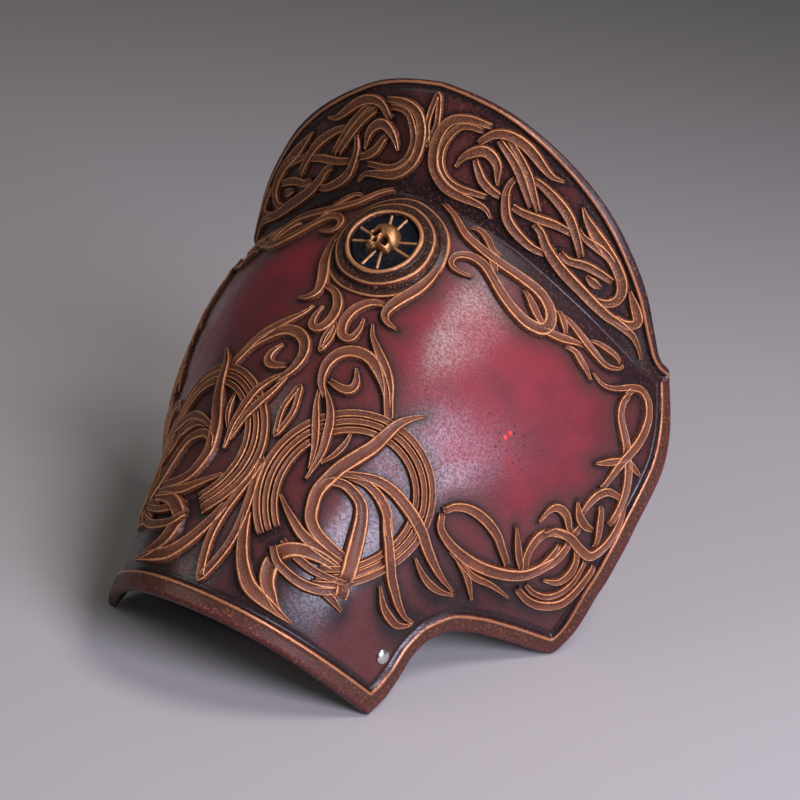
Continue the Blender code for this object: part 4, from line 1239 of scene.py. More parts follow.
@dataclass
class Strapwork:
    """The raised strapwork of both halves: strands swept along the form, woven over and under.

    A row of the half profile, from outside in, is: share of half width, share of rise, rub, shade; the shade
    is painted shade, darkest at the foot and on the walls.
    """

    form: MouldedForm
    rise: float = 2.8 * MM
    breadth: float = 1.10
    full_width: float = 3.2 * MM
    least_slim: float = 0.25
    slim_rise: float = 0.45
    slim_rub: float = 0.45
    collar_tone: float = 0.35
    step: float = 1.25 * MM
    hump: float = 0.45 * MM
    dip: float = 1.7 * MM
    most_lift: float = 1.2
    # Painted shadow on a strand where it passes under another, which also dims its rubbed edges.
    under_painted_shadow: float = 0.75
    rub_off_in_painted_shade: float = 0.8
    clear: float = 2.6 * MM
    blunt_width: float = 1.6 * MM
    end_drop: float = 0.9 * MM
    end_run: float = 2.5 * MM
    # Painted shade on blunt ends, which sink into what they meet.
    end_painted_shade: float = 0.5
    end_painted_shade_run: float = 3.0 * MM
    ring_centre: tuple[float, float] = (0.258, 77.0)
    ring_reach: tuple[float, float] = (0.243, 43.5)
    ring_bands: tuple[tuple[float, float], ...] = ((1.0, 3.2), (0.905, 2.7), (0.81, 2.7))
    ring_opening: tuple[float, float] = (-75.0, 228.0)
    # The shade column is painted shade: darkest at the foot, lighter up the walls.
    half_profile: Array = table((
        (1.50, -0.30, 0.00, 1.00),
        (1.33, 0.03, 0.00, 1.00),
        (1.21, 0.30, 0.00, 0.62),
        (1.09, 0.64, 0.05, 0.42),
        (0.98, 0.90, 0.70, 0.14),
        (0.87, 1.00, 0.95, 0.00),
        (0.72, 0.97, 0.42, 0.04),
        (0.38, 0.79, 0.04, 0.16),
        (0.00, 0.74, 0.02, 0.20),
    ))
    paths: list[Path] = field(default_factory=list)

    def lay_out(self) -> None:
        """Lays out every path of the right half, then decides which passes over at each crossing."""
        for strand in STRANDS:
            track = catmull_rom(np.array(strand.places) * CHOSEN_SCALE[strand.face])
            self.paths.append(self.lay(strand.group, strand.face, track, strand.widths))
        turn = np.radians(np.linspace(*self.ring_opening, 180))
        for share, width in self.ring_bands:
            across = self.ring_centre[0] + self.ring_reach[0] * share * np.cos(turn)
            along = (self.ring_centre[1] + self.ring_reach[1] * share * np.sin(turn)) * MM
            ring = self.lay(RING, Face.BARREL, np.stack([across, along], -1), (width, width))
            ring.lowest = True
            self.paths.append(ring)
        for group, face, halves, low, high, width in LOOPS:
            right = np.stack([np.array(halves), np.linspace(low, high, len(halves))], -1) * CHOSEN_SCALE[face]
            loop = np.vstack([right, (right * (-1, 1))[-2::-1]])
            self.paths.append(self.lay(group, face, catmull_rom(loop), (width, width), True))
        self.weave()

    def lay(
        self, group: str, face: Face, track: Array, widths: Sequence[float], closed: bool = False
    ) -> Path:
        """Spaces stations evenly along a track by its true length on the form.

        Args:
            group: The piece that the strand belongs to.
            face: The face that carries it.
            track: Fine places along it.
            widths: Widths in millimetres at even shares of its length.
            closed: Joins its end to its start.

        Returns:
            The path.
        """
        line = run_of(self.form.place(face, track[:, 0], track[:, 1]))
        run = np.linspace(0.0, line[-1], max(8, int(line[-1] / self.step)) + 1)
        if closed:
            run = run[:-1]
        keys = np.linspace(0.0, 1.0, len(widths))
        width = through(keys, np.array(widths, float)[:, None], run / line[-1])[:, 0] * MM * self.breadth
        across, second = (np.interp(run, line, track[:, column]) for column in (0, 1))
        path = Path(group, face, across, second, run, width, closed)
        path.lift, path.painted_shade = np.zeros(len(run)), np.zeros(len(run))
        return path

    @staticmethod
    def crossings(first: Array, second: Array) -> tuple[Array, Array]:
        """Where two flat paths cross: each segment pair's two shares from cross products.

        Args:
            first: One path's points.
            second: The other's.

        Returns:
            Station numbers with fractions on each path.
        """
        one, other = np.diff(first, axis=0), np.diff(second, axis=0)
        base = one[:, None, 0] * other[None, :, 1] - one[:, None, 1] * other[None, :, 0]
        base = np.where(np.abs(base) < TINY, TINY, base)
        apart = second[None, :-1] - first[:-1, None]
        share = (apart[..., 0] * other[None, :, 1] - apart[..., 1] * other[None, :, 0]) / base
        match = (apart[..., 0] * one[:, None, 1] - apart[..., 1] * one[:, None, 0]) / base
        here, there = np.nonzero((share >= 0) & (share < 1) & (match >= 0) & (match < 1))
        return here + share[here, there], there + match[here, there]

    def meet(self) -> list[tuple[int, float, int, float]]:
        """Every crossing of two paths on one face.

        Returns:
            Rows of the first path's number, its station, the second's number and its station.
        """
        maps = [path.flat() for path in self.paths]
        found = []
        for low in range(len(self.paths)):
            for high in range(low + 1, len(self.paths)):
                one, other = maps[low], maps[high]
                apart = (one.min(0) > other.max(0)).any() or (other.min(0) > one.max(0)).any()
                if apart or self.paths[low].face is not self.paths[high].face:
                    continue
                for here, there in zip(*self.crossings(one, other)):
                    found.append((low, float(here), high, float(there)))
        return found

    def weave(self) -> None:
        """Alternates over and under along each strand, with the rings under all others, and raises
        or lowers it round each crossing by half a cosine wave as wide as the other strand."""
        meetings = self.meet()
        for number, (low, here, high, there) in enumerate(meetings):
            self.paths[low].meetings.append((here, number))
            self.paths[high].meetings.append((there, number))
        over: dict[int, int] = {}
        for index, path in enumerate(self.paths):
            above = index % 2 == 0
            for _, number in sorted(path.meetings):
                if number in over:
                    above = over[number] != index
                    continue
                low, _, high, _ = meetings[number]
                other = high if low == index else low
                if path.lowest or self.paths[other].lowest:
                    over[number] = other if path.lowest else index
                    continue
                over[number] = index if above else other
                above = not above
        for number, (low, here, high, there) in enumerate(meetings):
            for mine, station, other in ((low, here, high), (high, there, low)):
                path, passing = self.paths[mine], self.paths[other]
                place = np.interp(station, np.arange(len(path.run)), path.run)
                reach = 0.5 * float(np.median(passing.width)) + self.clear
                wave = 0.5 * (1 + np.cos(math.pi * np.clip(np.abs(path.run - place) / reach, 0.0, 1.0)))
                if over[number] == mine:
                    path.lift += self.hump * wave
                else:
                    path.lift -= self.dip * wave
                    # Painted shadow on the strand that passes under.
                    path.painted_shade += self.under_painted_shadow * wave
        for path in self.paths:
            self.finish_ends(path)

    def finish_ends(self, path: Path) -> None:
        """Keeps the lifts within bounds, and sinks blunt ends and paints shade on them by a smooth step.

        Args:
            path: The path, with its lifts.
        """
        path.lift = np.clip(path.lift, -self.most_lift * self.dip, self.most_lift * self.hump)
        path.painted_shade = np.clip(path.painted_shade, 0.0, 1.0)
        if not path.closed:
            gap = np.minimum(path.run, path.run[-1] - path.run)
            end_width = np.where(path.run < 0.5 * path.run[-1], path.width[0], path.width[-1])
            blunt = end_width > self.blunt_width
            path.lift -= blunt * self.end_drop * (1 - smooth_step(0.0, self.end_run, gap))
            path.painted_shade += blunt * self.end_painted_shade * (1 - smooth_step(0.0, self.end_painted_shade_run, gap))

    def sweep(self, path: Path) -> Patch:
        """Carries the profile along a path: each station's profile lies across the track, in the
        plane of the sideways direction (normal x onward) and the form's normal.

        Args:
            path: The laid out path.

        Returns:
            The strand as a closed tube.
        """
        points, normal = self.form.frame_at(path.face, path.across, path.second)
        if path.closed:
            onward = np.roll(points, -1, axis=0) - np.roll(points, 1, axis=0)
        else:
            onward = np.gradient(points, axis=0)
        side = unit(np.cross(normal, onward))
        slim = np.clip(path.width / self.full_width, self.least_slim, 1.0)
        rise = self.rise * (self.slim_rise + (1 - self.slim_rise) * slim)
        profile = np.concatenate([self.half_profile * (-1, 1, 1, 1), self.half_profile[-2::-1]])
        out, up, edge_rub, foot_shade = profile.T
        height = up * rise[:, None] + path.lift[:, None] * (up > 0.1)
        sheet = points[:, None] + side[:, None] * (out * 0.5 * path.width[:, None])[..., None]
        sheet = sheet + normal[:, None] * height[..., None]
        rows, columns = sheet.shape[:2]
        quads = grid_quads(rows, columns, wrap_rows=path.closed, wrap_columns=True)
        rub = np.clip(edge_rub * (1 - self.rub_off_in_painted_shade * path.painted_shade[:, None]), 0, 1)
        rub = np.clip(rub + (self.slim_rub * (1 - slim))[:, None], 0, 1)
        # Painted shade: the profile's dark foot and walls, with the shade painted under crossings and at
        # blunt ends.
        shade = np.clip(foot_shade + path.painted_shade[:, None], 0, 1)
        triangles = np.empty((0, 3), int)
        if not path.closed:
            column = np.arange(1, columns - 1)
            hub, last = np.zeros_like(column), (rows - 1) * columns
            start = np.stack([hub, column, column + 1], -1)
            triangles = np.concatenate([start, last + start[:, [0, 2, 1]]])
        tone = np.full(rows * columns, self.collar_tone if path.face is Face.COLLAR else 0.0)
        return turned_out(Patch(sheet.reshape(-1, 3), quads, rub.ravel(), shade.ravel(), triangles, tone))

    def reach_map(self) -> tuple[Array, Array]:
        """Every station of both halves, for painting shade and patina on the field round it.

        Returns:
            The stations' places, and the strands' half widths there.
        """
        right = np.concatenate([self.form.place(path.face, path.across, path.second) for path in self.paths])
        halves = np.concatenate([0.5 * path.width for path in self.paths])
        return np.concatenate([right, right * (-1, 1, 1)]), np.concatenate([halves, halves])

    def build(self, material: Material) -> None:
        """Makes one piece per group and side, each in place of its CAD node.

        Args:
            material: The strands' finish.
        """
        groups: dict[str, list[Patch]] = {}
        for path in self.paths:
            groups.setdefault(path.group, []).append(self.sweep(path))
        for group, patches in groups.items():
            whole = joined(patches)
            sides = [("_right", whole), ("_left", whole.mirrored())]
            for ending, patch in [("", whole)] if group in CENTRAL else sides:
                piece = make_piece(group + ending + "_strands", patch, self.form, material)
                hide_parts(group + ending)


# Shell


@dataclass
class Ground:
    """What the skin's relief and shade follow at each of its points: distances in metres, the share
    aside, and which points are the collar's."""

    points: Array
    edge: Array
    inward: Array
    strand: Array
    boss: Array
    crease: Array
    aside: Array
    on_collar: Array


@dataclass
class Shell:
    """The leather wall: outer skin with its raised border, a rounded edge, and a plain inside.

    A bell is a strength, a place and a width. A fall is a strength and a reach.
    """

    form: MouldedForm
    border: float = 9.5 * MM
    rim_border: float = 5.0 * MM
    rim_border_least: float = 0.45
    border_rise: float = 1.6 * MM
    border_slope: tuple[float, float] = (-0.6 * MM, 0.9 * MM)
    band_line: float = -0.4 * MM
    bead: Bell = (0.55 * MM, -1.2 * MM, 0.9 * MM)
    groove: Bell = (0.35 * MM, 1.8 * MM, 1.1 * MM)
    rounding: Bell = (0.9 * MM, 0.0, 1.0 * MM)
    fine: float = 0.70 * MM
    coarse: float = 1.65 * MM
    middling: float = 0.90 * MM
    girth: float = 0.208
    hem_zone: float = 14.0 * MM
    cutouts: tuple[float, float] = (42.0 * MM, 92.0 * MM)
    crease_zone: float = 4.0 * MM
    cuff_start: float = 1.2 * MM
    rim_zone: float = 9.0 * MM
    # Painted shade: at the feet of strands and boss, in the groove and in the crease.
    strand_foot_painted_shade: tuple[float, float] = (0.95, 1.3 * MM)
    # Broad darkening round strands: patina with painted shade.
    strand_patina_and_shade: Bell = (0.46, 0.0, 11.0 * MM)
    boss_foot_painted_shade: tuple[float, float] = (0.90, 2.5 * MM)
    groove_painted_shade: Bell = (0.85, 1.2 * MM, 1.8 * MM)
    # Broad darkening inside the border, less on the collar: patina with painted shade.
    border_patina_and_shade: float = 0.36
    collar_patina_and_shade: float = 0.22
    border_patina_and_shade_reach: float = 27.0 * MM
    crease_painted_shade: Bell = (0.95, 0.0, 11.0 * MM)
    low_gloom: float = 0.22
    low_along: tuple[float, float] = (60.0 * MM, 112.0 * MM)
    low_aside: tuple[float, float] = (0.18, 0.50)
    # Painted light: eases the darker lower part inside the rings.
    ring_painted_light: Bell = (0.35, 0.26, 0.12)
    knot_gloom: float = 0.12
    knot_along: tuple[float, float] = (95.0 * MM, 140.0 * MM)
    knot_aside: tuple[float, float] = (0.45, 0.62)
    band_gloom: float = 0.15
    collar_band_gloom: float = 0.45
    edge_gloom: Bell = (0.6, 0.0, 2.5 * MM)
    bead_rub: Bell = (0.95, -1.1 * MM, 0.7 * MM)
    edge_rub: Bell = (0.12, 1.1 * MM, 0.9 * MM)
    crease_tone_reach: float = 9.0 * MM
    # share of the wall's thickness, swell, rub, shade of each line round the edge
    lip: Array = table((
        (0.15, 0.225 * MM, 0.18, 0.70),
        (0.50, 0.300 * MM, 0.08, 0.85),
        (0.85, 0.225 * MM, 0.00, 0.90),
        (1.00, 0.000, 0.00, 0.95),
    ))

    def across_shares(self) -> Array:
        """Shares of a row's half girth, fine near the edge: even steps by length on the widest row.

        Returns:
            Rising shares from -1 to 1.
        """
        edge = np.arange(0.0, self.hem_zone, self.fine)
        rest = np.linspace(self.hem_zone, self.girth, int((self.girth - self.hem_zone) / self.coarse))
        half = (1.0 - np.concatenate([edge, rest]) / self.girth)[::-1]
        return np.concatenate([-half[:0:-1], half])

    def along_shares(self) -> Array:
        """Shares of the way from hem to crease, fine at the hem and round the cutouts.

        Returns:
            Rising shares from 0 to 1.
        """
        length = self.form.length
        near, far = self.cutouts
        stops = [
            np.arange(0.0, self.hem_zone, self.fine),
            np.arange(self.hem_zone, near, self.coarse),
            np.arange(near, far, self.middling),
            np.arange(far, length - self.crease_zone, self.coarse),
            np.linspace(length - self.crease_zone, length, 5),
        ]
        return np.unique(np.round(np.concatenate(stops), 6)) / length

    def skin(self) -> tuple[Array, Array]:
        """The plain outer skin as a grid of points and normals, hem to rim.

        Columns keep their share of each row's true girth, so that they run parallel to the edges.

        Returns:
            Points and unit normals, both (rows, columns, 3).
        """
        shares, rows = self.across_shares(), self.along_shares()
        across = np.empty((len(rows), len(shares)))
        samples = np.linspace(0.0, 1.0, 120)
        limits = self.form.limit(rows * self.form.length)
        for index, (row, limit) in enumerate(zip(rows, limits)):
            run = run_of(self.form.barrel(samples * limit, np.full(samples.shape, row * self.form.length)))
            across[index] = np.sign(shares) * np.interp(np.abs(shares) * run[-1], run, samples * limit)
        reach = self.form.crease(across / limits[:, None])
        body = self.form.barrel(across, rows[:, None] * reach)
        rim = float(np.linalg.norm(self.form.collar(0.0, 1.0) - self.form.collar(0.0, 0.0)))
        lower = np.arange(self.cuff_start, rim - self.rim_zone, self.coarse * 0.8)
        heights = np.concatenate([lower, np.arange(rim - self.rim_zone, rim, self.fine), [rim]])
        skin = np.concatenate([body, self.form.collar(across[-1][None], (heights / rim)[:, None])])
        return skin, unit(np.cross(np.gradient(skin, axis=1), np.gradient(skin, axis=0)))

    @staticmethod
    def nearest(points: Array, others: Array, less: Optional[Array] = None, block: int = 1500) -> Array:
        """Each point's distance to the nearest of the others, worked out in blocks.

        Args:
            points: The points to measure from.
            others: The points to measure to.
            less: A length to take off for each of the others.
            block: How many points are worked out at once.

        Returns:
            The distances.
        """
        found = np.empty(len(points), np.float32)
        near = others.astype(np.float32)
        square = (near**2).sum(1)
        for start in range(0, len(points), block):
            some = points[start : start + block].astype(np.float32)
            gap = (some**2).sum(1)[:, None] + square[None] - 2 * some @ near.T
            gap = np.sqrt(np.maximum(gap, 0.0))
            if less is not None:
                gap = gap - less[None].astype(np.float32)
            found[start : start + block] = gap.min(1)
        return found

    @staticmethod
    def rim_of(grid: Array) -> Array:
        """The four sides of a grid as one closed run of its rows' and columns' ends."""
        return np.concatenate([grid[0, :], grid[1:, -1], grid[-1, -2::-1], grid[-2:0:-1, 0]])

    def ground(self, skin: Array, strapwork: Strapwork, boss: "Boss") -> Ground:
        """Measures the skin.

        Args:
            skin: Its points as a grid.
            strapwork: The strands on it.
            boss: The boss on it.

        Returns:
            What its relief and shade follow.
        """
        rows, columns = skin.shape[:2]
        body_rows = len(self.along_shares())
        points = skin.reshape(-1, 3)
        line = self.rim_of(skin)
        ahead = np.roll(line, -1, axis=0)
        fine_line = [line * (1 - share) + ahead * share for share in np.arange(0.0, 1.0, 0.2)]
        edge = self.nearest(points, np.concatenate(fine_line))
        aside = np.tile(np.abs(self.across_shares()), rows)
        on_collar = np.repeat(np.arange(rows) >= body_rows, columns)
        by_rim = on_collar & (self.nearest(points, skin[-1]) < edge + 2 * MM)
        least = self.rim_border_least
        narrow = self.rim_border * (least + (1 - least) * smooth_step(0.0, 0.7, aside))
        return Ground(
            points=points,
            edge=edge,
            inward=edge - np.where(by_rim, narrow, self.border),
            strand=np.maximum(self.nearest(points, *strapwork.reach_map()), 0),
            boss=np.maximum(np.linalg.norm(points - boss.axes()[0], axis=1) - boss.radius, 0.0),
            crease=self.nearest(points, skin[body_rows - 1]),
            aside=aside,
            on_collar=on_collar,
        )

    def relief(self, ground: Ground) -> Array:
        """The skin's rise: a smooth step at the border's inner line, a bead just outside it, a
        groove just inside it, and a drop at the very edge.

        Args:
            ground: The skin's measures.

        Returns:
            Metres above the plain skin.
        """
        rise = self.border_rise * (1 - smooth_step(*self.border_slope, ground.inward))
        rise = rise + ridge(ground.inward, self.bead) - ridge(ground.inward, self.groove)
        return rise - ridge(ground.edge, self.rounding)

    def shading(self, ground: Ground) -> Array:
        """How dark the skin is: painted shade falling off from the feet of strands and boss and in the
        groove and crease, broad darkening round strands and border that is partly patina and partly
        painted shade, a darker lower part eased by painted light inside the rings, and the border band
        by a rule of its own.

        Args:
            ground: The skin's measures.

        Returns:
            Shades from 0 to about 1.
        """
        along, aside = ground.points[:, 1], ground.aside
        # Painted shade at the strands' feet.
        shade = self.strand_foot_painted_shade[0] * np.exp(-ground.strand / self.strand_foot_painted_shade[1])
        # Broad darkening round the strands: patina with painted shade.
        shade = shade + ridge(ground.strand, self.strand_patina_and_shade)
        # Painted shade round the boss's foot.
        shade = np.maximum(shade, self.boss_foot_painted_shade[0] * np.exp(-ground.boss / self.boss_foot_painted_shade[1]))
        # Broad darkening inside the border: patina with painted shade.
        broad = np.where(ground.on_collar, self.collar_patina_and_shade, self.border_patina_and_shade)
        shade = shade + broad * bump(np.maximum(ground.inward, 0), 0.0, self.border_patina_and_shade_reach)
        # Painted shade in the groove and the crease.
        shade = shade + ridge(ground.inward, self.groove_painted_shade) + ridge(ground.crease, self.crease_painted_shade)
        low = (1 - smooth_step(*self.low_along, along)) * smooth_step(*self.low_aside, aside)
        # Painted light inside the rings eases the darker lower part.
        shade = shade + self.low_gloom * low * (1 - ridge(aside, self.ring_painted_light))
        knots = (1 - smooth_step(*self.knot_along, along)) * (1 - smooth_step(*self.knot_aside, aside))
        shade = shade + self.knot_gloom * knots
        on_band = self.band_gloom + self.collar_band_gloom * ground.on_collar
        return np.where(ground.inward < self.band_line, on_band + ridge(ground.edge, self.edge_gloom), shade)

    def build(self, strapwork: Strapwork, boss: "Boss", outside: Material, inside: Material) -> None:
        """Makes the outer skin and edge as one piece and the inside as another. The edge is four
        lines from the skin's rim to the inside's, each swelled outwards.

        Args:
            strapwork: The strands, round which the field gets painted shade and patina.
            boss: The boss, round whose foot shade is painted.
            outside: The outer finish.
            inside: The inner finish.
        """
        skin, normal = self.skin()
        rows, columns = skin.shape[:2]
        ground = self.ground(skin, strapwork, boss)
        outer = skin + normal * self.relief(ground).reshape(rows, columns, 1)
        rim_base, rim_normal = self.rim_of(skin), self.rim_of(normal)
        rim_in = rim_base - rim_normal * self.form.wall
        wall = self.rim_of(outer) - rim_in
        onward = np.roll(rim_base, -1, axis=0) - np.roll(rim_base, 1, axis=0)
        outward = unit(np.cross(rim_normal, onward))
        lips = [rim_in + wall * (1 - share) - outward * swell for share, swell in self.lip[:, :2]]
        count = len(rim_in)
        rings = [self.rim_of(np.arange(rows * columns).reshape(rows, columns))]
        rings += [rows * columns + layer * count + np.arange(count) for layer in range(len(lips))]
        quads = [grid_quads(rows, columns)] + [band(upper, lower) for upper, lower in zip(rings, rings[1:])]
        rub = ridge(ground.inward, self.bead_rub) + ridge(ground.edge, self.edge_rub)
        near_crease = np.exp(-ground.crease / self.crease_tone_reach)
        tone = 0.5 * np.where(ground.on_collar, 1.0, near_crease)
        tone = np.where(ground.inward < self.band_line, 1.0, tone)
        patch = Patch(
            np.concatenate([outer.reshape(-1, 3)] + lips),
            np.concatenate(quads),
            np.concatenate([rub, np.repeat(self.lip[:, 2], count)]),
            np.concatenate([np.clip(self.shading(ground), 0, 1), np.repeat(self.lip[:, 3], count)]),
            tone=np.concatenate([tone, np.ones(len(lips) * count)]),
        )
        piece = make_piece("shell_outside", patch, self.form, outside)
        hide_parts("shell")
        under = (skin - normal * self.form.wall).reshape(-1, 3)
        plain = np.zeros(len(under))
        lining = Patch(under, grid_quads(rows, columns)[:, ::-1], plain, plain)
        piece = make_piece("shell_inside", lining, self.form, inside)
        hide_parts("shell")


# Boss, badge and skull


@dataclass
class Boss:
    """The stepped boss with its beads, the black recess with its spokes, and the small skull.

    A row of the profile is: radius in millimetres, height in millimetres, rub, shade; the shade is painted
    shade, darkest in the grooves and down into the recess.
    """

    form: MouldedForm
    radius: float = 31.7 * MM
    height: float = 6.2 * MM
    place: float = 0.865
    recess: float = 17.2 * MM
    recess_depth: float = 3.6 * MM
    floor_lift: float = 0.3 * MM
    sectors: int = 128
    flat_radius: float = 31.5
    ease: float = 9.0
    seat_reach: float = 0.5
    disc_rim: float = 0.35 * MM
    disc_rise: float = 1.2 * MM
    spoke_width: float = 1.5 * MM
    spoke_rise: float = 1.0 * MM
    spoke_spread: float = 0.26
    skull_width: float = 17.4 * MM
    skull_length: float = 19.5 * MM
    skull_height: float = 7.6 * MM
    skull_lean: float = math.radians(30.0)
    skull_aside: float = -0.9 * MM
    skull_lift: float = 1.5 * MM
    skull_foot: float = 1.35 * MM
    profile: Array = table((
        (31.90, -0.60, 0.00, 0.90), (31.80, 0.30, 0.00, 0.35), (31.65, 1.00, 0.10, 0.10),
        (31.30, 1.50, 0.90, 0.00), (30.95, 1.62, 0.80, 0.10), (30.30, 1.50, 0.10, 0.40),
        (29.20, 1.35, 0.00, 0.45), (28.10, 1.30, 0.00, 0.50), (27.50, 1.10, 0.00, 0.80),
        (27.10, 0.70, 0.00, 1.00), (26.70, 0.60, 0.00, 1.00), (26.40, 1.10, 0.00, 0.80),
        (26.15, 2.20, 0.00, 0.25), (25.90, 3.10, 0.10, 0.10), (25.55, 3.70, 0.90, 0.00),
        (25.15, 3.85, 0.80, 0.10), (24.50, 3.75, 0.10, 0.40), (23.10, 3.70, 0.00, 0.50),
        (21.90, 3.60, 0.00, 0.60), (21.30, 3.50, 0.00, 0.90), (20.90, 3.80, 0.00, 0.90),
        (20.60, 4.60, 0.00, 0.60), (20.30, 5.30, 0.30, 0.30), (19.80, 5.90, 0.85, 0.00),
        (19.20, 6.20, 1.00, 0.00), (18.60, 6.15, 0.90, 0.00), (18.10, 5.70, 0.40, 0.30),
        (17.70, 4.80, 0.00, 0.80), (17.40, 3.40, 0.00, 1.00), (17.20, 2.60, 0.00, 1.00),
    ))

    def axes(self) -> tuple[Array, Array, Array, Array]:
        """The boss's place on the crown.

        Returns:
            Its centre, and its directions across, onward and out.
        """
        along = np.array(self.place * self.form.length)
        centre, out = self.form.frame_at(Face.BARREL, np.array(0.0), along)
        across = np.array([1.0, 0.0, 0.0])
        return centre, across, np.cross(out, across), out

    def seat(self, points: Array) -> Array:
        """Drops points along the barrel's up direction to its outer face, by reading each point's
        section at 401 shares and taking the height where x matches.

        Args:
            points: Barrel coordinates.

        Returns:
            The points on the face.
        """
        shares = np.linspace(-self.seat_reach, self.seat_reach, 401)
        lines = self.form.barrel(shares[None], points[:, 1][:, None])
        up = np.array([np.interp(x, line[:, 0], line[:, 2]) for x, line in zip(points[:, 0], lines)])
        return np.stack([points[:, 0], points[:, 1], up], -1)

    def build_rings(self, material: Material) -> None:
        """Turns the profile round the boss's axis; its outer rings drape over the barrel and its
        inner rings lie flat, with an ease between, and each bead wavers a little by its angle.

        Args:
            material: The boss's finish.
        """
        centre, across, onward, out = self.axes()
        turn = circle(self.sectors)
        spread = np.cos(turn)[:, None] * across + np.sin(turn)[:, None] * onward
        sheets = []
        for radius, height, _, _ in self.profile:
            wobble = 1 + 0.007 * np.sin(3 * turn + 0.6 * radius) + 0.006 * np.sin(7 * turn + 0.9 * radius)
            ring = centre + spread * (radius * MM * wobble)[:, None]
            share = min(max((self.flat_radius - radius) / self.ease, 0.0), 1.0)
            rise = out * height * MM
            sheets.append((ring + rise) * share + (self.seat(ring) + rise) * (1 - share))
        rows, base = len(sheets), len(sheets) * self.sectors
        index = np.arange(self.sectors)
        hubs = [centre - out * MM, sheets[-1].mean(0)]
        red = 0.5 * (bump(self.profile[:, 0], 26.1, 0.4) + bump(self.profile[:, 0], 31.8, 0.3))
        rub, shade, tone = (np.repeat(values, self.sectors) for values in (*self.profile.T[2:], red))
        quads = [grid_quads(rows, self.sectors, wrap_columns=True), band(index, base + index)]
        bottom = fan(base + index, base + self.sectors)[:, ::-1]
        top = fan((rows - 1) * self.sectors + index, base + self.sectors + 1)
        extra = np.zeros(self.sectors + len(hubs))
        whole = Patch(
            np.concatenate(sheets + [sheets[0] - out * 0.4 * MM, hubs]),
            np.concatenate(quads),
            np.concatenate([rub, extra]),
            np.concatenate([shade, extra + 1]),
            np.concatenate([bottom, top]),
            np.concatenate([tone, extra]),
        )
        piece = make_piece("boss_rings", turned_out(whole), self.form, material)
        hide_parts("boss")

    def badge_middle(self) -> tuple[Array, Array, Array, Array]:
        """The recess's floor.

        Returns:
            The floor's middle, and the boss's directions across, onward and out.
        """
        centre, across, onward, out = self.axes()
        return centre + out * (self.height - self.recess_depth + self.floor_lift), across, onward, out

    @staticmethod
    def closed_disc(sheet: Array, low: Array, hubs: Sequence[Array]) -> tuple[Array, Array, Array]:
        """Closes a disc of rings with a middle, a wall and an underside.

        Args:
            sheet: The rings from the middle outwards.
            low: The wall's lower ring.
            hubs: The middle above and the middle below.

        Returns:
            Points, quads and triangles.
        """
        rows, columns = sheet.shape[:2]
        base = rows * columns
        index = np.arange(columns)
        wall = band(base + index, base - columns + index)
        top = fan(index, base + columns)[:, ::-1]
        bottom = fan(base + index, base + columns + 1)
        quads = np.concatenate([grid_quads(rows, columns, wrap_columns=True), wall])
        return np.concatenate([sheet.reshape(-1, 3), low, hubs]), quads, np.concatenate([top, bottom])

    def build_badge(self, material: Material) -> None:
        """The black disc with four pairs of spokes: height is a ridge by distance from the nearest
        spoke's line, and the black between them swells a little.

        Args:
            material: The badge's finish.
        """
        middle, across, onward, out = self.badge_middle()
        radii = np.linspace(0.5 * MM, self.recess - self.disc_rim, 34)
        radius, angle = np.meshgrid(radii, circle(240), indexing="ij")
        spokes = np.concatenate([np.arange(4) * math.pi / 2 + self.spoke_spread * sign for sign in (-1, 1)])
        aside = np.abs(radius[..., None] * np.sin(angle[..., None] - spokes))
        aside = np.where(np.cos(angle[..., None] - spokes) > 0, aside, 1.0).min(-1)
        spoke = 1 - smooth_step(0.30 * self.spoke_width, 0.62 * self.spoke_width, aside)
        chip = np.sin(angle * 9 + radius * 700) * np.sin(angle * 4 - radius * 1100)
        swell = MM * np.sin(radius / self.recess * math.pi) * (0.35 + 0.30 * chip)
        height = self.disc_rise + self.spoke_rise * spoke + swell * (1 - spoke)
        place = np.cos(angle)[..., None] * across + np.sin(angle)[..., None] * onward
        sheet = middle + place * radius[..., None] + out * height[..., None]
        low = middle + place[-1] * radii[-1]
        points, quads, triangles = self.closed_disc(sheet, low, [middle + out * self.disc_rise, middle])
        rest = np.zeros(len(points) - spoke.size)
        rub = np.concatenate([0.95 * spoke.ravel(), rest])
        shade = np.concatenate([0.6 * (1 - spoke).ravel(), rest + 1])
        whole = Patch(points, quads, rub, shade, triangles, np.ones(len(points)))
        piece = make_piece("badge_disc", turned_out(whole), self.form, material)
        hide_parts("skull_badge")

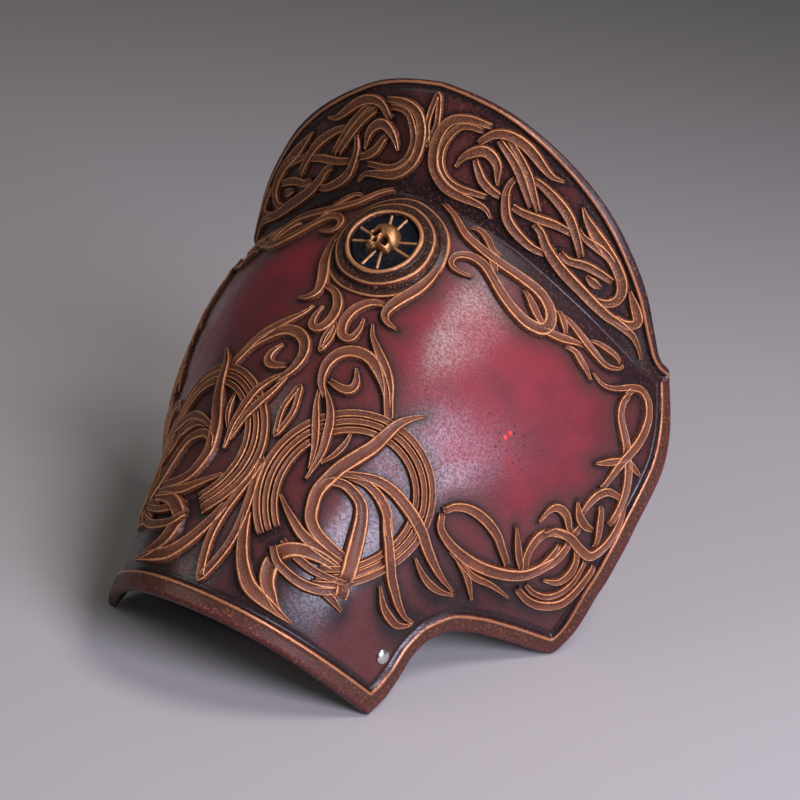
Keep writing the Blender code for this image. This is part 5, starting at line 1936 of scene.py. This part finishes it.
    def build_skull(self, material: Material) -> None:
        """A small skull as a height over a disc: a round cap, with the sockets, nose and cheeks
        pressed in or raised as bells, and a row of teeth as a wave across the jaw. Its sizes are
        shares of half its width and length.

        Args:
            material: The skull's finish.
        """
        middle, across, onward, out = self.badge_middle()
        radius, angle = np.meshgrid(np.linspace(0.0, 1.0, 60)[1:], circle(160), indexing="ij")
        x, y = radius * np.cos(angle), radius * np.sin(angle)
        narrow = 1 - 0.10 * bump(y, 0.02, 0.12) - 0.50 * smooth_step(0.22, 0.55, -y)
        cap = np.sqrt(np.maximum(0.0, 1 - radius**3.2))
        height = cap * (0.78 + 0.22 * smooth_step(-0.25, 0.45, y))
        hollow = np.zeros_like(x)
        for sign in (-1, 1):
            socket = np.exp(-((((x - 0.41 * sign) / 0.29) ** 2 + ((y + 0.04) / 0.24) ** 2) ** 2.0))
            brow = np.exp(-(((x - 0.40 * sign) / 0.34) ** 2) - ((y - 0.24) / 0.08) ** 2)
            cheek = np.exp(-(((x - 0.62 * sign) / 0.20) ** 2) - ((y + 0.34) / 0.11) ** 2)
            hole = np.exp(-(((x - 0.72 * sign) / 0.20) ** 2) - ((y + 0.58) / 0.15) ** 2)
            height = height - 0.56 * socket + 0.10 * brow + 0.16 * cheek - 0.34 * hole
            hollow = hollow + 1.2 * socket + 0.9 * hole
        nose_width = 0.12 + 0.12 * smooth_step(0.20, 0.48, -y)
        nose = np.exp(-(((x / nose_width) ** 2 + ((y + 0.37) / 0.14) ** 2) ** 1.6))
        bridge = np.exp(-((x / 0.10) ** 2) - ((y + 0.08) / 0.16) ** 2)
        teeth_zone = smooth_step(0.57, 0.64, -y) * (1 - smooth_step(0.88, 0.96, -y)) * (np.abs(x) < 0.62)
        teeth = teeth_zone * (0.5 + 0.5 * np.cos(x * math.pi / 0.13))
        height = height - 0.40 * nose + 0.10 * bridge + 0.12 * teeth
        hollow = hollow + 1.1 * nose + 0.8 * teeth_zone * (1 - teeth)
        hollow = hollow + 0.5 * bump(y, -0.775, 0.03) * teeth_zone
        height = np.maximum(height, 0.04)
        lean, rise = math.sin(self.skull_lean), math.cos(self.skull_lean)
        sideways = (across * rise - onward * lean) * 0.5 * self.skull_width
        upright = (onward * rise + across * lean) * 0.5 * self.skull_length
        sheet = middle + across * self.skull_aside + out * self.skull_lift
        sheet = sheet + sideways * (x * narrow)[..., None] + upright * y[..., None]
        sheet = sheet + out * (self.skull_height * height)[..., None]
        low = sheet[-1] - out * ((sheet[-1] - middle) @ out - self.skull_foot)[:, None]
        points, quads, triangles = self.closed_disc(sheet, low, [sheet[0].mean(0), low.mean(0)])
        # Painted shade in the sockets, nose and between the teeth, partly dark patina, and at the rim where
        # the skull meets the floor.
        shade = np.clip(hollow + 0.5 * smooth_step(0.88, 1.0, radius), 0, 1)
        shade = np.concatenate([shade.ravel(), np.ones(len(low)), [0.0, 1.0]])
        whole = Patch(points, quads, np.zeros(len(points)), shade, triangles)
        piece = make_piece("skull_relief", turned_out(whole), self.form, material)
        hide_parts("skull")


# Fittings


@dataclass
class Fittings:
    """The rivets at the hem's corners and the arm strap inside them."""

    form: MouldedForm
    rivet_radius: float = 4.0 * MM
    rivet_rise: float = 1.7 * MM
    rivet_across: float = 0.72
    rivet_along: float = 27.0 * MM
    strap_width: float = 22.0 * MM
    strap_thickness: float = 2.5 * MM
    strap_drop: float = 13.0 * MM
    strap_seat: float = 0.9 * MM
    strap_heel: float = 0.800
    strap_head: float = 0.60
    strap_sides: tuple[float, float] = (-0.75, 1.25)
    strap_round: float = 0.30
    dome_seat: float = 0.2 * MM

    def build_rivets(self, material: Material) -> None:
        """Each head is a low dome turned round the wall's normal: cosine out, sine up.

        Args:
            material: The rivets' finish.
        """
        slope = np.linspace(0.0, 0.47 * math.pi, 16)
        out, up = np.cos(slope) ** 0.8, np.sin(slope)
        turn = circle(40)
        for side in Side:
            place = np.array(side.value * self.rivet_across), np.array(self.rivet_along)
            centre, normal = self.form.frame_at(Face.BARREL, *place)
            first = unit(np.cross(normal, [0.0, 1.0, 0.0]))
            second = np.cross(normal, first)
            spread = np.cos(turn)[:, None] * first + np.sin(turn)[:, None] * second
            rings = centre + spread[None] * (out * self.rivet_radius)[:, None, None]
            rings = rings + normal * (up * self.rivet_rise + self.dome_seat)[:, None, None]
            rows, columns = rings.shape[:2]
            points = np.concatenate([rings.reshape(-1, 3), [rings[-1].mean(0)], [centre]])
            index = np.arange(columns)
            top = fan((rows - 1) * columns + index, rows * columns)
            triangles = np.concatenate([top, fan(index, rows * columns + 1)[:, ::-1]])
            # Painted shade, darkest at the dome's foot where it meets the leather.
            shade = np.concatenate([np.repeat(1 - smooth_step(0.0, 0.4, up), columns), [0.0, 1.0]])
            quads = grid_quads(rows, columns, wrap_columns=True)
            patch = Patch(points, quads, np.zeros(len(points)), shade, triangles)
            name = "rivet_" + side.name.lower()
            piece = make_piece(name + "_head", turned_out(patch), self.form, material)
            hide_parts(name)

    def strap_line(self) -> Array:
        """The strap's outer face: down one wall, a quarter circle of the strap's drop, straight
        across, and up the other wall.

        Returns:
            A grid of points, rows along the strap and columns over its width.
        """
        near, far = self.rivet_along + self.strap_width / 2 * np.array(self.strap_sides)
        shares = np.linspace(self.strap_head, self.strap_heel, 16)[:, None]
        stations = near + (far - near) * np.linspace(0.0, 1.0, 15)[None]
        outer, normal = self.form.frame_at(Face.BARREL, *np.broadcast_arrays(shares, stations))
        wall = outer - normal * (self.form.wall + self.strap_seat)
        turn = np.linspace(0.0, math.pi / 2, 9)[1:]
        drop = np.stack([1 - np.cos(turn), 0 * turn, np.sin(turn)], -1) * self.strap_drop
        half = np.concatenate([wall, wall[-1][None] - drop[:, None]])
        ways = np.linspace(1.0, -1.0, 50)[1:-1]
        span = np.stack([ways, 1 + 0 * ways, 1 + 0 * ways], -1)
        return np.concatenate([half, half[-1][None] * span[:, None], half[::-1] * (-1, 1, 1)])

    def build_strap(self, material: Material) -> None:
        """Gives the strap its thickness, with its long edges rounded by a tenth power.

        Args:
            material: The strap's finish.
        """
        line = self.strap_line()
        rows, columns = line.shape[:2]
        inward = unit(np.cross(np.gradient(line, axis=0), np.gradient(line, axis=1)))
        inward = inward * (-np.sign(inward[0, 0, 0])) * self.strap_thickness
        round_off = self.strap_round * np.abs(np.linspace(-1.0, 1.0, columns))[None, :, None] ** 10
        top, under = line + inward * round_off, line + inward * (1 - round_off)
        ids = Shell.rim_of(np.arange(rows * columns).reshape(rows, columns))
        face = grid_quads(rows, columns)
        quads = [face, face[:, ::-1] + rows * columns, band(ids, ids + rows * columns)]
        points = np.concatenate([top.reshape(-1, 3), under.reshape(-1, 3)])
        patch = Patch(points, np.concatenate(quads), np.zeros(len(points)), np.zeros(len(points)))
        piece = make_piece("arm_strap_leather", turned_out(patch), self.form, material)
        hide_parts("arm_strap")


# Studio


@dataclass(frozen=True)
class Lamp:
    """A soft oval light.

    Attributes:
        name: Its name.
        direction: From the part towards it.
        long_axis: The way that its second size lies.
        distance: Metres from the part.
        size: Its two diameters in metres.
        power: Watts.
        colour: Its colour.
    """

    name: str
    direction: tuple[float, float, float]
    long_axis: tuple[float, float, float]
    distance: float
    size: tuple[float, float]
    power: float
    colour: Colour


LAMPS = (
    Lamp("key_light", (0.49, 0.03, 0.87), (0.0, 1.0, 0.0), 1.2, (0.50, 0.50), 7.0, (1.0, 0.90, 0.94)),
    Lamp("window", (0.82, -0.30, 0.42), (-0.49, -0.34, 0.63), 1.5, (0.58, 1.30), 28.0, (0.80, 0.76, 1.0)),
    Lamp("fill_light", (-0.60, -0.60, 0.62), (0.0, 0.0, 1.0), 1.9, (1.1, 1.1), 4.5, (1.0, 0.95, 0.92)),
)


@dataclass
class Studio:
    """The pale floor, the soft lights and the camera at the photograph's angle."""

    form: MouldedForm
    focal: float = 1850.0 / 800.0
    film: float = 36.0
    eye_distance: float = 1.0
    back: tuple[float, float, float] = (0.4132, -0.8108, 0.4146)
    up: tuple[float, float, float] = (-0.2947, 0.3117, 0.9033)
    aim_along: float = 0.16983
    aim_up: float = -0.09674
    aim_height: float = 0.12
    floor_sectors: int = 64
    floor_colour: Colour = (0.45, 0.438, 0.418)
    floor_roughness: float = 0.85
    sky_colour: Colour = (0.86, 0.87, 0.90)
    sky_strength: float = 0.10
    # distance from the middle, height
    dish: Array = table((
        (0.05, 0.0), (0.4, 0.0), (0.8, 0.0), (1.2, 0.0), (1.6, 0.0), (2.0, 0.0), (2.4, 0.0), (2.8, 0.05),
        (3.2, 0.2), (3.5, 0.5), (3.7, 0.9), (3.8, 1.6),
    ))

    def build_floor(self) -> None:
        """A wide pale dish: level round the part and turned up far away on every side."""
        far, high = self.dish.T[..., None]
        turn = circle(self.floor_sectors)
        sheet = np.stack([far * np.cos(turn), far * np.sin(turn), high + 0 * turn], -1)
        quads = grid_quads(len(far), len(turn), wrap_columns=True)[:, ::-1]
        hub = list(range(len(turn)))
        mesh = bpy.data.meshes.new("floor")
        mesh.from_pydata(sheet.reshape(-1, 3).tolist(), [], quads.tolist() + [hub])
        mesh.polygons.foreach_set("use_smooth", np.full(len(quads) + 1, True))
        made, nodes, shader = new_finish("pale_floor")
        nodes.feed(self.floor_colour, shader.inputs["Base Color"])
        nodes.feed(self.floor_roughness, shader.inputs["Roughness"])
        mesh.materials.append(made)
        floor = bpy.data.objects.new("floor", mesh)
        bpy.context.scene.collection.objects.link(floor)

    @staticmethod
    def stand_up(made: bpy.types.Object, x: Array, y: Array, z: Array, place: Array) -> None:
        """Links an object and gives it its place in the world.

        Args:
            made: The light or camera.
            x: Its sideways direction.
            y: Its up direction.
            z: Its back direction.
            place: Where it stands.
        """
        bpy.context.scene.collection.objects.link(made)
        whole = np.eye(4)
        whole[:3] = np.stack([x, y, z, place], -1)
        made.matrix_world = Matrix(whole.tolist())

    def build_light(self, lamp: Lamp) -> None:
        """An oval area light that faces the part.

        Args:
            lamp: Where it stands, how large and how bright it is.
        """
        data = bpy.data.lights.new(lamp.name, "AREA")
        data.shape, data.size, data.size_y = "ELLIPSE", lamp.size[0], lamp.size[1]
        data.energy, data.color = lamp.power, lamp.colour
        back = unit(np.array(lamp.direction))
        side = unit(np.cross(np.array(lamp.long_axis), back))
        place = back * lamp.distance + np.array([0.0, 0.0, self.aim_height])
        self.stand_up(bpy.data.objects.new(lamp.name, data), side, np.cross(back, side), back, place)

    def build_camera(self) -> None:
        """The camera looks along its back direction from one metre away, at the photograph's point."""
        aim = self.form.stand(np.array([0.0, self.aim_along, self.aim_up]))
        back, up = unit(np.array(self.back)), unit(np.array(self.up))
        data = bpy.data.cameras.new("camera")
        data.sensor_width, data.lens = self.film, self.film * self.focal
        camera = bpy.data.objects.new("camera", data)
        self.stand_up(camera, np.cross(up, back), up, back, aim + back * self.eye_distance)
        bpy.context.scene.camera = camera

    def build(self) -> None:
        """Makes floor, camera, lights and surroundings."""
        self.build_floor()
        self.build_camera()
        for lamp in LAMPS:
            self.build_light(lamp)
        world = bpy.context.scene.world or bpy.data.worlds.new("studio")
        bpy.context.scene.world = world
        world.use_nodes = True
        nodes = Nodes(world.node_tree)
        backdrop = world.node_tree.nodes.get("Background") or nodes.add("ShaderNodeBackground")
        nodes.feed(self.sky_colour, backdrop.inputs["Color"])
        nodes.feed(self.sky_strength, backdrop.inputs["Strength"])
        bpy.context.scene.view_settings.view_transform = "Standard"


def main() -> None:
    """Builds the pauldron's classes in order, then the studio."""
    logging.basicConfig(level=logging.INFO, format="%(name)s: %(message)s")
    shared = SharedEffects()
    form = MouldedForm()
    strapwork = Strapwork(form)
    strapwork.lay_out()
    boss = Boss(form)
    field_finish = FIELD.material(shared, Splashes(form).group())
    Shell(form).build(strapwork, boss, field_finish, INSIDE.material(shared))
    strapwork.build(STRAPWORK.material(shared))
    leather = BOSS.material(shared)
    boss.build_rings(leather)
    boss.build_badge(BADGE.material(shared))
    boss.build_skull(SKULL_BRONZE.material(shared))
    fittings = Fittings(form)
    fittings.build_rivets(NICKEL.material(shared))
    fittings.build_strap(STRAP.material(shared))
    Studio(form=form).build()


if __name__ == "__main__":
    main()
